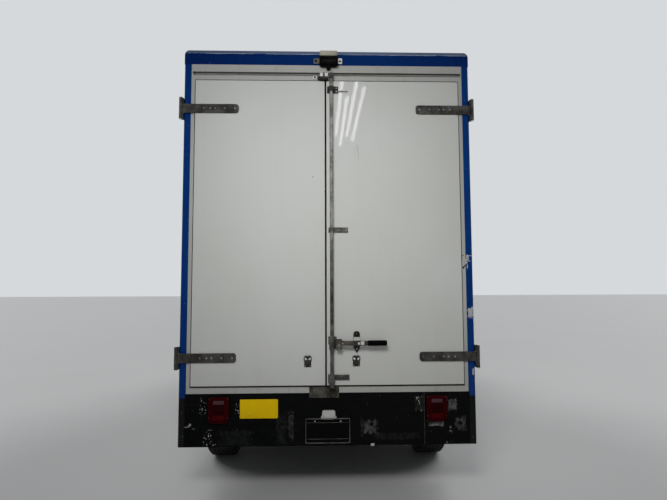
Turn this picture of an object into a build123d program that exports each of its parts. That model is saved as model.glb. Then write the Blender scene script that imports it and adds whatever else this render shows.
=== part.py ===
"""Box truck on a cutaway van chassis, with a tall box body and two full-height barn doors.

Millimetres, +Z up, +Y towards the front of the truck, +X to its right.
The origin is on the ground, under the middle of the truck's whole box.
"""

import math
import os

from build123d import *

# Box body
BOX_WIDTH = 2100.0
BOX_LENGTH = 2950.0
BODY_HEIGHT = 2851.0
APRON_BOTTOM_Z = 360.0
APRON_HEIGHT = 364.0
APRON_THICKNESS = 40.0
POST_FACE = 45.0
POST_DEPTH = 90.0
POST_RADIUS = 14.0
PANEL_WALL = 36.0
RAIL_PROUD = 6.0
TOP_RAIL_HEIGHT = 85.0
ROOF_THICKNESS = 21.0
ROOF_CORNER = 35.0
LOWER_RAIL_DROP = 29.0
LOWER_RAIL_HEIGHT = 80.0
SKIRT_THICKNESS = 30.0
SILL_HEIGHT = 42.0
SILL_STEP = 1.0
FLOOR_THICKNESS = 36.0
BEARER_HEIGHT = 60.0
BEARER_WIDTH = 50.0
BEARER_COUNT = 8
WHEEL_BOX_WALL = 12.0
WHEEL_BOX_HEADROOM = 90.0
WHEEL_BOX_MARGIN = 15.0
CUT_MARGIN = 50.0

# Rear frame and its barn doors
FRAME_SET_BACK = 6.0
HEADER_HEIGHT = 122.0
SIDE_STRIP = 39.0
DOOR_GAP = 6.0
REAR_DOOR_THICKNESS = 45.0
MEETING_X = -16.0
LIP_WIDTH = 24.0
DRIP_RAIL_RISE = 45.0
DRIP_RAIL_HEIGHT = 20.0
DRIP_RAIL_PROUD = 14.0

# Strap hinges
HINGE_PIN_OUT = 18.0
HINGE_PIN_SET_OUT = 10.0
HINGE_PIN_RADIUS = 6.0
HINGE_BARREL_RADIUS = 12.0
HINGE_BARREL_GAP = 2.0
PIN_CLEARANCE = 0.08
UPPER_STRAP_DROP = 214.0
LOWER_STRAP_RISE = 200.0
STRAP_THICKNESS = 8.0
STRAP_HEIGHT = 66.0
STRAP_LENGTH = 418.0
STRAP_END_RADIUS = 20.0
BRACKET_RISE = 45.0
BRACKET_THICKNESS = 6.0
BRACKET_LENGTH = 120.0

# Lock gear on the rear doors
HARDWARE_PROUD = 72.0
LOCK_ROD_RADIUS = 12.5
LOCK_ROD_X = 26.0
LOCK_ROD_SET_OUT = 26.0
LOCK_ROD_BELOW = 10.0
LOCK_ROD_ABOVE = 57.0
HANDLE_RISE = 303.0
HANDLE_BAR_RADIUS = 9.0
HANDLE_BAR_X = (75.0, 280.0)
HANDLE_GRIP_RADIUS = 20.0
HANDLE_GRIP_X = (277.0, 412.0)

# Small plates: x low, x high, z low and z high from the datum, how far proud, datum
LOCK_PLATES = (
    (-4.0, 77.0, -94.0, -41.0, 40.0, "door top"),
    (4.0, 145.0, -20.0, 19.0, 40.0, "door middle"),
    (13.0, 53.0, 242.0, 348.0, 40.0, "door bottom"),
    (43.0, 149.0, 42.0, 78.0, 12.0, "door bottom"),
    (-2.0, 43.0, 19.0, 82.0, 40.0, "door bottom"),
    (13.0, 98.0, 268.0, 298.0, 44.0, "door bottom"),
    (53.0, 98.0, 245.0, 321.0, 46.0, "door bottom"),
    (176.0, 228.0, 245.0, 382.0, 26.0, "door bottom"),
)
RIGHT_HASP = (174.0, 224.0, 136.0, 213.0, 14.0, "door bottom")
LEFT_HASP = (-170.0, -121.0, 132.0, 216.0, 14.0, "door bottom")
KEEPER_STOP = (-110.0, -79.0, 17.0, 42.0, 12.0, "door top")
KEEPER_JAWS = (
    (-57.0, -30.0, 27.0, 67.0, 34.0, "door top"),
    (-57.0, 5.0, 27.0, 67.0, 20.0, "door top"),
    (-24.0, 5.0, 27.0, 67.0, 34.0, "door top"),
)
SILL_KEEPER = (-135.0, 75.0, -34.0, 41.0, 6.0, "sill")
RIGHT_LAMP = (687.0, 840.0, 158.0, 348.0, 34.0, "apron")
NUMBER_PLATE = (-161.0, 152.0, 18.0, 189.0, 10.0, "apron")
PLATE_LAMP = (-45.0, 49.0, 190.0, 247.0, 42.0, "apron")
WARNING_SIGN = (-620.0, -354.0, 192.0, 323.0, 3.0, "apron")
CAMERA_PARTS = (
    (-59.0, 78.0, -104.0, -28.0, 46.0, "roof"),
    (-57.0, 70.0, -28.0, 15.0, 52.0, "roof"),
    (-12.0, 24.0, -145.0, -104.0, 34.0, "roof"),
    (-104.0, 108.0, -97.0, -54.0, 10.0, "roof"),
)

# Chassis frame
FRAME_OUTER_X = 430.0
FRAME_FLANGE = 70.0
FRAME_HEIGHT = 150.0
FRAME_WALL = 8.0
CROSSMEMBER_HEIGHT = 70.0
CROSSMEMBER_WIDTH = 60.0
CROSSMEMBER_COUNT = 7
CROSSMEMBER_INSET = 122.0
SPRING_REACH = 600.0
SPRING_EYE_LENGTH = 60.0
SPRING_EYE_DROP = 30.0
SPRING_THICKNESS = 42.0
SPRING_SIDE_GAP = 5.0

# Axles
REAR_OVERHANG = 970.0
ARCH_BEHIND_DOOR = 55.0
AXLE_TUBE_RADIUS = 45.0
AXLE_BEAM_HALF_HEIGHT = 25.0
AXLE_BEAM_HALF_WIDTH = 28.0
SPRING_SEAT_HALF_LENGTH = 45.0
SPRING_SEAT_MARGIN = 20.0
DIFFERENTIAL_RADIUS = 140.0
PINION_LENGTH = 330.0
PINION_RADIUS = 62.0
SHAFT_RADIUS = 35.0
AXLE_EYE_RADIUS = 28.0
AXLE_EYE_HALF_HEIGHT = 40.0
KINGPIN_INSET = 116.0
KINGPIN_RADIUS = 14.0
YOKE_GAP = 2.0
YOKE_LUG_HEIGHT = 22.0
YOKE_LUG_RADIUS = 26.0
YOKE_HALF_LENGTH = 30.0
BACKPLATE_RADIUS = 150.0
BACKPLATE_INSET = 71.0
BACKPLATE_THICKNESS = 8.0
SPINDLE_RADIUS = 30.0
SPINDLE_REACH = 34.0
SPINDLE_END_GAP = 2.0

# Wheels
TYRE_RADIUS = 387.0
TYRE_HALF_WIDTH = 124.0
TYRE_SIDE_CLEARANCE = 15.0
REAR_WHEEL_X = 886.0
FRONT_WHEEL_X = 870.0
FRONT_ARCH_CLEARANCE = 43.0
REAR_ARCH_CLEARANCE = 53.0
RIM_RADIUS = 205.0
RIM_WALL = 10.0
RIM_HALF_WIDTH = 104.0
RIM_FLANGE_HEIGHT = 13.0
RIM_FLANGE_WIDTH = 8.0
BEAD_GAP = 0.5
BEAD_HEIGHT = 14.0
SIDEWALL_DROP = 102.0
SHOULDER_DROP = 42.0
TREAD_EDGE_DROP = 5.0
SIDEWALL_INSET = 6.0
TREAD_EDGE_INSET = 26.0
TREAD_INSET = 60.0
DISC_THICKNESS = 16.0
DISC_EDGE_X = 45.0
DISC_EDGE_LAP = 4.0
DISC_EDGE_DROP = 20.0
DISC_VALLEY_X = 22.0
DISC_VALLEY_RADIUS = 110.0
DISC_HUB_X = 30.0
HUB_RADIUS = 74.0
HUB_INNER_X = 58.0
HUB_OUTER_X = 72.0
HUB_CHAMFER = 12.0
HUB_CHAMFER_DROP = 20.0
HAND_HOLES = 8
TYRE_SIDES = 48
HAND_HOLE_RING = 145.0
HAND_HOLE_RADIUS = 20.0

# Engine, tank and exhaust
ENGINE_BEHIND_COWL = 50.0
ENGINE_HALF_WIDTH = 280.0
ENGINE_LENGTH = 630.0
ENGINE_HEIGHT = 500.0
ENGINE_DROP = 39.0
ENGINE_BEARER_Y = 300.0
ENGINE_BEARER_WIDTH = 60.0
ENGINE_BEARER_HEIGHT = 40.0
GEARBOX_HALF_WIDTH = 150.0
GEARBOX_LENGTH = 430.0
GEARBOX_HEIGHT = 160.0
SHAFT_FRONT_RISE = 60.0
RADIATOR_SET_BACK = 190.0
RADIATOR_DEPTH = 60.0
RADIATOR_HEIGHT = 331.0
TANK_LENGTH = 800.0
TANK_WIDTH = 430.0
TANK_HEIGHT = 240.0
TANK_DROP = 29.0
TANK_CORNER = 40.0
TANK_AHEAD_OF_AXLE = 908.0
EXHAUST_RADIUS = 28.0
EXHAUST_INNER_X = 250.0
EXHAUST_OUTER_X = 560.0
EXHAUST_TAIL_X = (820.0, 1000.0)
EXHAUST_DROP = 49.0
EXHAUST_TAIL_DROP = (99.0, 199.0)
EXHAUST_BENDS_Y = (300.0, 500.0, 700.0)
EXHAUST_TAIL_Y = (858.0, 738.0, 698.0)
SILENCER_RADIUS = 100.0
SILENCER_LENGTH = 600.0
SILENCER_AHEAD = 150.0
SILENCER_LIFT = 20.0
HANGER_THICKNESS = 20.0
HANGER_DROP = 40.0
HANGER_LAP = 30.0
HANGER_REACH = 10.0
REAR_HANGER_AHEAD = 450.0
FRONT_HANGER_BEHIND = 250.0

# Cab, along the truck from its back wall to the bumper
CAB_TO_BOX_GAP = 68.0
CAB_DOOR_FROM_BACK = 350.0
CAB_DOOR_LENGTH = 1025.0
COWL_FROM_DOOR = 335.0
NOSE_LENGTH = 900.0
BUMPER_REACH = 100.0
WINDSCREEN_RUN = 660.0
FENDER_FROM_DOOR = 50.0
FENDER_ABOVE_BELT = 20.0

# Cab, across the truck and in height over the frame
OVERALL_WIDTH = 2460.0
CAB_HALF_WIDTH = 995.0
CAB_ROOF_HALF_WIDTH = 850.0
CAB_FLOOR_THICKNESS = 31.0
CAB_DEPTH_BELOW_FLOOR = 280.0
CAB_BELT_RISE = 630.0
CAB_GLASS_RISE = 760.0
CAB_WALL = 35.0
FENDER_SKIN = 25.0
FORM_LAP = 6.0
ROOF_REAR_RADIUS = 60.0
ROOF_FRONT_RADIUS = 220.0
COWL_RADIUS = 90.0
ROOF_SIDE_RADIUS = 130.0
SIDE_RADIUS = 300.0
SIDE_TUCK = 20.0
SIDE_KNEE_RISE = 200.0
SIDE_SHOULDER_DROP = 50.0
NOSE_TOP_DROP = 220.0
NOSE_TOP_RAKE = 40.0
NOSE_TOP_RADIUS = 100.0
NOSE_FACE_DROP = 200.0
NOSE_FACE_RADIUS = 60.0
VALANCE_RISE = 120.0
VALANCE_RADIUS = 40.0
VALANCE_LAP = 30.0
NOSE_CORNER_Y = 450.0
NOSE_CORNER_RADIUS = 900.0
NOSE_CORNER_TUCK = 95.0
NOSE_EDGE_RADIUS = 150.0
FRAME_TUNNEL_MARGIN = 65.0
BAY_MARGIN = 60.0
BAY_STEP_RISE = 160.0
TOE_BOARD_FOOT = 360.0
TOE_BOARD_HEAD = 180.0
TOE_BOARD_RISE = 180.0
COWL_SHELF_DROP = 60.0
COWL_SHELF_DEPTH = 60.0
FIREWALL = 35.0

# Cab doors, glass and nose panels
CAB_DOOR_GAP = 7.0
CAB_DOOR_BOTTOM_RISE = 50.0
CAB_DOOR_TOP_DROP = 130.0
CAB_DOOR_CORNER = 60.0
CAB_DOOR_REACH = 500.0
PILLAR_WIDTH = 130.0
WINDOW_MARGIN = 70.0
WINDOW_SILL_RISE = 10.0
WINDOW_CORNER = 50.0
WINDOW_LOW_CORNER = 40.0
WINDOW_FRONT_CORNER = 30.0
GLASS_THICKNESS = 6.0
GLASS_SET_IN = 8.0
SCREEN_LOW_MARGIN = 145.0
SCREEN_HIGH_MARGIN = 95.0
SCREEN_LOW_RISE = 55.0
SCREEN_HIGH_DROP = 85.0
SCREEN_CORNER = 55.0
SCREEN_REACH = 30.0
BONNET_HALF_WIDTH = 760.0
BONNET_GAP = 6.0
BONNET_NOSE_DROP = 70.0
BONNET_SET_FORWARD = 5.0
GRILLE_HALF_WIDTH = 590.0
GRILLE_BORDER = 50.0
GRILLE_SILL = 45.0
GRILLE_DEPTH = 200.0
GRILLE_BARS = 5
GRILLE_BAR_HEIGHT = 18.0
GRILLE_BAR_DEPTH = 18.0
GRILLE_BAR_SET_IN = 6.0
LAMP_DEPTH = 60.0
LAMP_HEIGHT = 200.0
LAMP_DROP = 40.0
LAMP_GAP = 20.0
LAMP_OUTER_MARGIN = 110.0
LAMP_REACH = 300.0

# Bumper, mirrors and what is inside the cab
BUMPER_WALL = 90.0
BUMPER_BOTTOM_RISE = 10.0
BUMPER_HEIGHT = 210.0
BUMPER_SIDE_TUCK = 5.0
BUMPER_FRONT_TUCK = 120.0
BUMPER_CORNER_Y = 200.0
BUMPER_RADIUS = 200.0
BUMPER_ARCH_GAP = 70.0
MIRROR_WIDTH = 190.0
MIRROR_DEPTH = 80.0
MIRROR_HEIGHT = 310.0
MIRROR_BEHIND_DOOR = 30.0
MIRROR_CORNER = 30.0
MIRROR_ARM_RISES = (30.0, 90.0)
MIRROR_ARM_DROP = 90.0
MIRROR_ARM_RADIUS = 11.0
MIRROR_ARM_LAP = 64.0
MIRROR_ARM_REACH = 20.0
STEERING_WHEEL_X = -420.0
STEERING_WHEEL_BEHIND_COWL = 650.0
STEERING_WHEEL_RISE = 630.0
STEERING_WHEEL_RADIUS = 190.0
STEERING_COLUMN_TILT = 30.0
STEERING_RIM_RADIUS = 15.0
STEERING_BOSS_RADIUS = 42.0
STEERING_BOSS_HEIGHT = 36.0
SPOKE_WIDTH = 26.0
SPOKE_THICKNESS = 12.0
SPOKE_DROP = 8.0
SPOKE_ANGLES = (0.0, 180.0, 270.0)
COLUMN_SHAFT_RADIUS = 12.0
COLUMN_SHAFT_LENGTH = 120.0
COLUMN_TUBE_RADIUS = 34.0
COLUMN_TUBE_TOP = 50.0
COLUMN_TUBE_LENGTH = 230.0
COLUMN_BORE_LENGTH = 100.0
DASH_HALF_WIDTH = 925.0
SEAT_X = 420.0
SEAT_HALF_WIDTH = 260.0
SEAT_BEHIND_COWL = 710.0

# Dashboard from the side: behind the cowl, under the belt, corner radius
DASH_OUTLINE = (
    (-450.0, -320.0, 0.0),
    (-460.0, -140.0, 30.0),
    (-340.0, -40.0, 40.0),
    (0.0, -40.0, 0.0),
    (0.0, -230.0, 0.0),
    (-300.0, -370.0, 0.0),
)

# Seat from the side: from the cushion's front edge, over the cab floor, corner radius
SEAT_OUTLINE = (
    (-490.0, 0.0, 0.0),
    (-430.0, 260.0, 0.0),
    (-570.0, 260.0, 40.0),
    (-760.0, 1000.0, 50.0),
    (-650.0, 1040.0, 50.0),
    (-470.0, 390.0, 20.0),
    (-10.0, 400.0, 50.0),
    (0.0, 260.0, 30.0),
    (-110.0, 260.0, 0.0),
    (-110.0, 0.0, 0.0),
)

# Places along the truck
CAB_LENGTH = CAB_DOOR_FROM_BACK + CAB_DOOR_LENGTH + COWL_FROM_DOOR + NOSE_LENGTH + BUMPER_REACH
OVERALL_LENGTH = HARDWARE_PROUD + BOX_LENGTH + CAB_TO_BOX_GAP + CAB_LENGTH
FRONT_Y = OVERALL_LENGTH / 2
REAR_Y = HARDWARE_PROUD - OVERALL_LENGTH / 2
REAR_FRAME_Y = REAR_Y + FRAME_SET_BACK
POST_FRONT_Y = REAR_FRAME_Y + POST_DEPTH
BOX_FRONT_Y = REAR_Y + BOX_LENGTH
HINGE_PIN_Y = REAR_Y - HINGE_PIN_SET_OUT
CAB_BACK_Y = BOX_FRONT_Y + CAB_TO_BOX_GAP
CAB_DOOR_REAR_Y = CAB_BACK_Y + CAB_DOOR_FROM_BACK
CAB_DOOR_FRONT_Y = CAB_DOOR_REAR_Y + CAB_DOOR_LENGTH
FENDER_REAR_Y = CAB_DOOR_FRONT_Y + FENDER_FROM_DOOR
COWL_Y = CAB_DOOR_FRONT_Y + COWL_FROM_DOOR
WINDSCREEN_TOP_Y = COWL_Y - WINDSCREEN_RUN
NOSE_Y = COWL_Y + NOSE_LENGTH
FRONT_ARCH_RADIUS = TYRE_RADIUS + FRONT_ARCH_CLEARANCE
REAR_ARCH_RADIUS = TYRE_RADIUS + REAR_ARCH_CLEARANCE
FRONT_AXLE_Y = FENDER_REAR_Y + ARCH_BEHIND_DOOR + FRONT_ARCH_RADIUS
REAR_AXLE_Y = REAR_Y + REAR_OVERHANG
ENGINE_REAR_Y = COWL_Y - ENGINE_BEHIND_COWL
GEARBOX_REAR_Y = ENGINE_REAR_Y - GEARBOX_LENGTH
BUMPER_REAR_Y = FRONT_AXLE_Y + FRONT_ARCH_RADIUS + BUMPER_ARCH_GAP

# Places across the truck
HALF_BOX = BOX_WIDTH / 2
WALL_OUTER_X = HALF_BOX - RAIL_PROUD
WALL_INNER_X = WALL_OUTER_X - PANEL_WALL
POST_INNER_X = HALF_BOX - POST_FACE
REAR_DOOR_HALF_WIDTH = POST_INNER_X - SIDE_STRIP
HINGE_PIN_X = HALF_BOX + HINGE_PIN_OUT
WHEEL_BOX_INNER_X = REAR_WHEEL_X - TYRE_HALF_WIDTH - TYRE_SIDE_CLEARANCE - WHEEL_BOX_WALL
KINGPIN_X = FRONT_WHEEL_X - KINGPIN_INSET
SIDES = (("left", -1), ("right", 1))

# Heights over the ground
SILL_BOTTOM_Z = APRON_BOTTOM_Z + APRON_HEIGHT
SILL_TOP_Z = SILL_BOTTOM_Z + SILL_HEIGHT
ROOF_TOP_Z = APRON_BOTTOM_Z + BODY_HEIGHT
RAIL_TOP_Z = ROOF_TOP_Z - ROOF_THICKNESS
RAIL_BOTTOM_Z = RAIL_TOP_Z - TOP_RAIL_HEIGHT
LOWER_RAIL_Z = SILL_BOTTOM_Z - LOWER_RAIL_DROP
WALL_BOTTOM_Z = LOWER_RAIL_Z + LOWER_RAIL_HEIGHT
FLOOR_TOP_Z = SILL_TOP_Z - SILL_STEP
FLOOR_BOTTOM_Z = FLOOR_TOP_Z - FLOOR_THICKNESS
FRAME_TOP_Z = FLOOR_BOTTOM_Z - BEARER_HEIGHT
FRAME_BOTTOM_Z = FRAME_TOP_Z - FRAME_HEIGHT
REAR_DOOR_BOTTOM_Z = SILL_TOP_Z + DOOR_GAP
REAR_DOOR_TOP_Z = RAIL_BOTTOM_Z - HEADER_HEIGHT
HINGE_HEIGHTS = (REAR_DOOR_BOTTOM_Z + LOWER_STRAP_RISE, REAR_DOOR_TOP_Z - UPPER_STRAP_DROP)
WHEEL_BOX_TOP_Z = 2 * TYRE_RADIUS + WHEEL_BOX_HEADROOM
SPRING_EYE_Z = FRAME_BOTTOM_Z - SPRING_EYE_DROP
ENGINE_BOTTOM_Z = FRAME_BOTTOM_Z - ENGINE_DROP
CAB_FLOOR_Z = FRAME_TOP_Z + CAB_FLOOR_THICKNESS
CAB_BOTTOM_Z = CAB_FLOOR_Z - CAB_DEPTH_BELOW_FLOOR
CAB_BELT_Z = CAB_FLOOR_Z + CAB_BELT_RISE
CAB_ROOF_Z = CAB_BELT_Z + CAB_GLASS_RISE
CAB_DOOR_BOTTOM_Z = CAB_BOTTOM_Z + CAB_DOOR_BOTTOM_RISE
CAB_DOOR_TOP_Z = CAB_ROOF_Z - CAB_DOOR_TOP_DROP
NOSE_TOP_Z = CAB_BELT_Z - NOSE_TOP_DROP
BONNET_NOSE_Z = NOSE_TOP_Z - BONNET_NOSE_DROP
BUMPER_Z_SPAN = (CAB_BOTTOM_Z + BUMPER_BOTTOM_RISE, CAB_BOTTOM_Z + BUMPER_BOTTOM_RISE + BUMPER_HEIGHT)
DATUMS = {
    "door top": REAR_DOOR_TOP_Z,
    "door middle": (REAR_DOOR_TOP_Z + REAR_DOOR_BOTTOM_Z) / 2,
    "door bottom": REAR_DOOR_BOTTOM_Z,
    "sill": SILL_BOTTOM_Z,
    "apron": APRON_BOTTOM_Z,
    "roof": ROOF_TOP_Z,
}


# Shapes that the pieces share


def block(x_span, y_span, z_span):
    """Box between two corners, given as three (low, high) spans."""
    spans = (x_span, y_span, z_span)
    centre = [(low + high) / 2 for low, high in spans]
    return Pos(*centre) * Box(*[high - low for low, high in spans])


def rod(start, end, radius):
    """Round bar from one point to another."""
    path = Vector(*end) - Vector(*start)
    plane = Plane(origin=start, z_dir=path)
    return extrude(plane * Circle(radius), amount=path.length)


def upright(x, y, z_span, radius):
    """Round bar standing upright."""
    low, high = z_span
    return rod((x, y, low), (x, y, high), radius)


def outline(plane, rows):
    """Face on a plane from rows of (across, up, corner radius)."""
    points = [(across, up) for across, up, _ in rows]
    radii = [radius for _, _, radius in rows]
    return plane * make_face(FilletPolyline(*points, radius=radii, close=True))


def placed(rows, across, up):
    """Outline rows moved as one to their place."""
    return [(across + row[0], up + row[1], row[2]) for row in rows]


def inset_rows(rows, inset):
    """Outline rows moved inwards by one distance, with their corner radii to match."""
    following = rows[1:] + rows[:1]
    area = sum(here[0] * after[1] - after[0] * here[1] for here, after in zip(rows, following))
    hand = 1 if area > 0 else -1
    moved = []
    for before, (across, up, radius), after in zip(rows[-1:] + rows[:-1], rows, following):
        here = Vector(across, up)
        arriving = (here - Vector(*before[:2])).normalized()
        leaving = (Vector(*after[:2]) - here).normalized()
        normal_in = Vector(-arriving.Y, arriving.X) * hand
        normal_out = Vector(-leaving.Y, leaving.X) * hand
        mitre = (normal_in + normal_out) / (1 + normal_in.dot(normal_out))
        turn = hand * (arriving.X * leaving.Y - arriving.Y * leaving.X)
        place = here + mitre * inset
        new_radius = 0.0
        if radius:
            new_radius = max(radius - inset if turn > 0 else radius + inset, 0.0)
        moved.append((place.X, place.Y, new_radius))
    return moved


def side_prism(rows, x_span, inset=0.0):
    """Outline seen from the side, rows of (y, z, corner radius), drawn across the truck."""
    low, high = x_span
    face = outline(Plane.YZ.offset(low), inset_rows(rows, inset))
    return extrude(face, amount=high - low)


def end_prism(rows, y_span, inset=0.0):
    """Outline seen from behind, rows of (x, z, corner radius), drawn along the truck."""
    low, high = y_span
    plane = Plane(origin=(0, high, 0), x_dir=(1, 0, 0), z_dir=(0, -1, 0))
    face = outline(plane, inset_rows(rows, inset))
    return extrude(face, amount=high - low)


def plan_prism(rows, z_span, inset=0.0):
    """Outline seen from above, rows of (x, y, corner radius), drawn upwards."""
    low, high = z_span
    face = outline(Plane.XY.offset(low), inset_rows(rows, inset))
    return extrude(face, amount=high - low)


def mirror_rows(rows):
    """Rows for the right half of a symmetric outline, followed by their mirror images."""
    return list(rows) + [(-across, up, radius) for across, up, radius in reversed(rows)]


def side_span(side, near, far):
    """Span across the truck on one side, from two distances off the centre line."""
    return (near, far) if side > 0 else (-far, -near)


def wheel_disc(y, radius, x_span):
    """Cylinder across the truck, centred on a wheel's axis."""
    low, high = x_span
    return rod((low, y, TYRE_RADIUS), (high, y, TYRE_RADIUS), radius)


def turned(rows, x, y, side):
    """Ring turned about a wheel's axis from rows of (outboard offset, radius)."""
    points = [(side * (x + across), TYRE_RADIUS + radius) for across, radius in rows]
    plane = Plane(origin=(0, y, 0), x_dir=(1, 0, 0), z_dir=(0, -1, 0))
    face = plane * make_face(Polyline(*points, close=True))
    return revolve(face, Axis((0, y, TYRE_RADIUS), (1, 0, 0)))


def faceted(rows, x, y, side, sides):
    """Ring about a wheel's axis like a turned one, but of flat facets with a corner at its foot."""
    loops = []
    for index in range(sides):
        angle = 2 * math.pi * index / sides
        loops.append([
            (side * (x + across), y + radius * math.sin(angle), TYRE_RADIUS - radius * math.cos(angle))
            for across, radius in rows
        ])
    faces = []
    for near, far in zip(loops, loops[1:] + loops[:1]):
        spans = zip(near, far, far[1:] + far[:1], near[1:] + near[:1])
        faces += [Face(Wire.make_polygon(corners)) for corners in spans]
    ring = Solid(Shell(faces))
    return ring if ring.volume > 0 else -ring


def plate_on(face_y, row):
    """Small block proud of an upright rear face, from a row of the tables of small plates."""
    x_low, x_high, z_low, z_high, proud, datum = row
    base = DATUMS[datum]
    return block((x_low, x_high), (face_y - proud, face_y), (base + z_low, base + z_high))


def both_sides(solid):
    """A solid and its mirror image on the other side of the truck."""
    return solid, mirror(solid, about=Plane.YZ)


def on_side(solid, side):
    """A solid drawn on the right, on the side that is asked for."""
    return solid if side > 0 else mirror(solid, about=Plane.YZ)


def save(node, *solids):
    """Write one node, made of one solid or of several that don't touch."""
    bodies = [solid for piece in solids for solid in piece.solids()]
    shape = bodies[0] if len(bodies) == 1 else Compound(children=bodies)
    shape.label = node
    export_step(shape, f"parts/{node}.step")
    print(node, len(bodies), round(shape.volume))


# Box body


def rear_arch():
    """Cylinder that opens the body sides round the rear wheels."""
    reach = HALF_BOX + CUT_MARGIN
    return wheel_disc(REAR_AXLE_Y, REAR_ARCH_RADIUS, (-reach, reach))


def box_section(y_span):
    """Box body's outline from behind, with its rounded roof corners."""
    rows = mirror_rows([
        (HALF_BOX, APRON_BOTTOM_Z, 0),
        (HALF_BOX, ROOF_TOP_Z, ROOF_CORNER),
    ])
    return end_prism(rows, y_span)


def make_corner_posts():
    """Four upright corner posts, the rear pair down to the apron's bottom."""
    posts = []
    # outer face, inner face, bottom
    for outer_y, inner_y, bottom in (
        (REAR_FRAME_Y, POST_FRONT_Y, APRON_BOTTOM_Z),
        (BOX_FRONT_Y, BOX_FRONT_Y - POST_DEPTH, LOWER_RAIL_Z),
    ):
        rows = [
            (POST_INNER_X, outer_y, 0),
            (HALF_BOX, outer_y, POST_RADIUS),
            (HALF_BOX, inner_y, 0),
            (POST_INNER_X, inner_y, 0),
        ]
        posts.extend(both_sides(plan_prism(rows, (bottom, RAIL_BOTTOM_Z))))
    save("corner_posts", *posts)


def make_edge_rails():
    """Ring of top rails, lower side rails and the lower front rail."""
    whole = (REAR_FRAME_Y, BOX_FRONT_Y)
    ring = block((-HALF_BOX, HALF_BOX), whole, (RAIL_BOTTOM_Z, RAIL_TOP_Z))
    ring -= block(
        (-WALL_INNER_X, WALL_INNER_X),
        (REAR_FRAME_Y + PANEL_WALL, BOX_FRONT_Y - PANEL_WALL),
        (RAIL_BOTTOM_Z, RAIL_TOP_Z),
    )
    ring &= box_section(whole)
    side = block(
        (WALL_INNER_X, HALF_BOX),
        (POST_FRONT_Y, BOX_FRONT_Y - POST_DEPTH),
        (LOWER_RAIL_Z, WALL_BOTTOM_Z),
    )
    front = block(
        (-POST_INNER_X, POST_INNER_X),
        (BOX_FRONT_Y - PANEL_WALL, BOX_FRONT_Y),
        (LOWER_RAIL_Z, WALL_BOTTOM_Z),
    )
    save("edge_rails", ring, *both_sides(side - rear_arch()), front)


def make_box_walls():
    """Side walls and front wall, each a plain panel between its posts and rails."""
    side = block(
        (WALL_INNER_X, WALL_OUTER_X),
        (POST_FRONT_Y, BOX_FRONT_Y - POST_DEPTH),
        (WALL_BOTTOM_Z, RAIL_BOTTOM_Z),
    )
    front = block(
        (-POST_INNER_X, POST_INNER_X),
        (BOX_FRONT_Y - RAIL_PROUD - PANEL_WALL, BOX_FRONT_Y - RAIL_PROUD),
        (WALL_BOTTOM_Z, RAIL_BOTTOM_Z),
    )
    save("box_walls", *both_sides(side - rear_arch()), front)


def make_box_roof():
    """Flat roof sheet with rounded long edges."""
    whole = (REAR_FRAME_Y, BOX_FRONT_Y)
    sheet = block((-HALF_BOX, HALF_BOX), whole, (RAIL_TOP_Z, ROOF_TOP_Z))
    save("box_roof", sheet & box_section(whole))


def wheel_box(side, inset):
    """Space over a rear wheel; its outer side stays open under the body's arch."""
    half = REAR_ARCH_RADIUS + WHEEL_BOX_MARGIN - inset
    bottom = FLOOR_BOTTOM_Z - (BEARER_HEIGHT if inset else 0.0)
    return block(
        side_span(side, WHEEL_BOX_INNER_X + inset, POST_INNER_X),
        (REAR_AXLE_Y - half, REAR_AXLE_Y + half),
        (bottom, WHEEL_BOX_TOP_Z - inset),
    )


def make_box_floor():
    """Floor with its cross bearers and a raised box over each rear wheel."""
    front_y = BOX_FRONT_Y - RAIL_PROUD - PANEL_WALL
    floor = block(
        (-POST_INNER_X, POST_INNER_X), (POST_FRONT_Y, front_y), (FLOOR_BOTTOM_Z, FLOOR_TOP_Z)
    )
    first_y = POST_FRONT_Y + BEARER_WIDTH
    last_y = front_y - POST_DEPTH - BEARER_WIDTH
    pitch = (last_y - first_y) / (BEARER_COUNT - 1)
    for index in range(BEARER_COUNT):
        y = first_y + index * pitch
        over_wheel = abs(y - REAR_AXLE_Y) < REAR_ARCH_RADIUS + BEARER_WIDTH
        reach = WHEEL_BOX_INNER_X if over_wheel else WALL_INNER_X
        floor += block((-reach, reach), (y, y + BEARER_WIDTH), (FRAME_TOP_Z, FLOOR_BOTTOM_Z))
    for _, side in SIDES:
        floor = floor + wheel_box(side, 0.0) - wheel_box(side, WHEEL_BOX_WALL)
    save("box_floor", floor)


def make_side_skirts():
    """Black skirt panels under the box, open round the rear wheels."""
    skirt = block(
        (HALF_BOX - SKIRT_THICKNESS, HALF_BOX),
        (POST_FRONT_Y, BOX_FRONT_Y),
        (APRON_BOTTOM_Z, LOWER_RAIL_Z),
    )
    save("side_skirts", *both_sides(skirt - rear_arch()))


def make_rear_apron():
    """Full-width panel under the rear sill, between the posts."""
    apron = block(
        (-POST_INNER_X, POST_INNER_X),
        (REAR_FRAME_Y, REAR_FRAME_Y + APRON_THICKNESS),
        (APRON_BOTTOM_Z, SILL_BOTTOM_Z),
    )
    save("rear_apron", apron)


# Rear frame, doors and their ironwork


def drip_rail():
    """Rain gutter across the header, over the doors."""
    low = REAR_DOOR_TOP_Z + DRIP_RAIL_RISE
    return block(
        (-REAR_DOOR_HALF_WIDTH, REAR_DOOR_HALF_WIDTH),
        (REAR_FRAME_Y - DRIP_RAIL_PROUD, REAR_FRAME_Y),
        (low, low + DRIP_RAIL_HEIGHT),
    )


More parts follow.
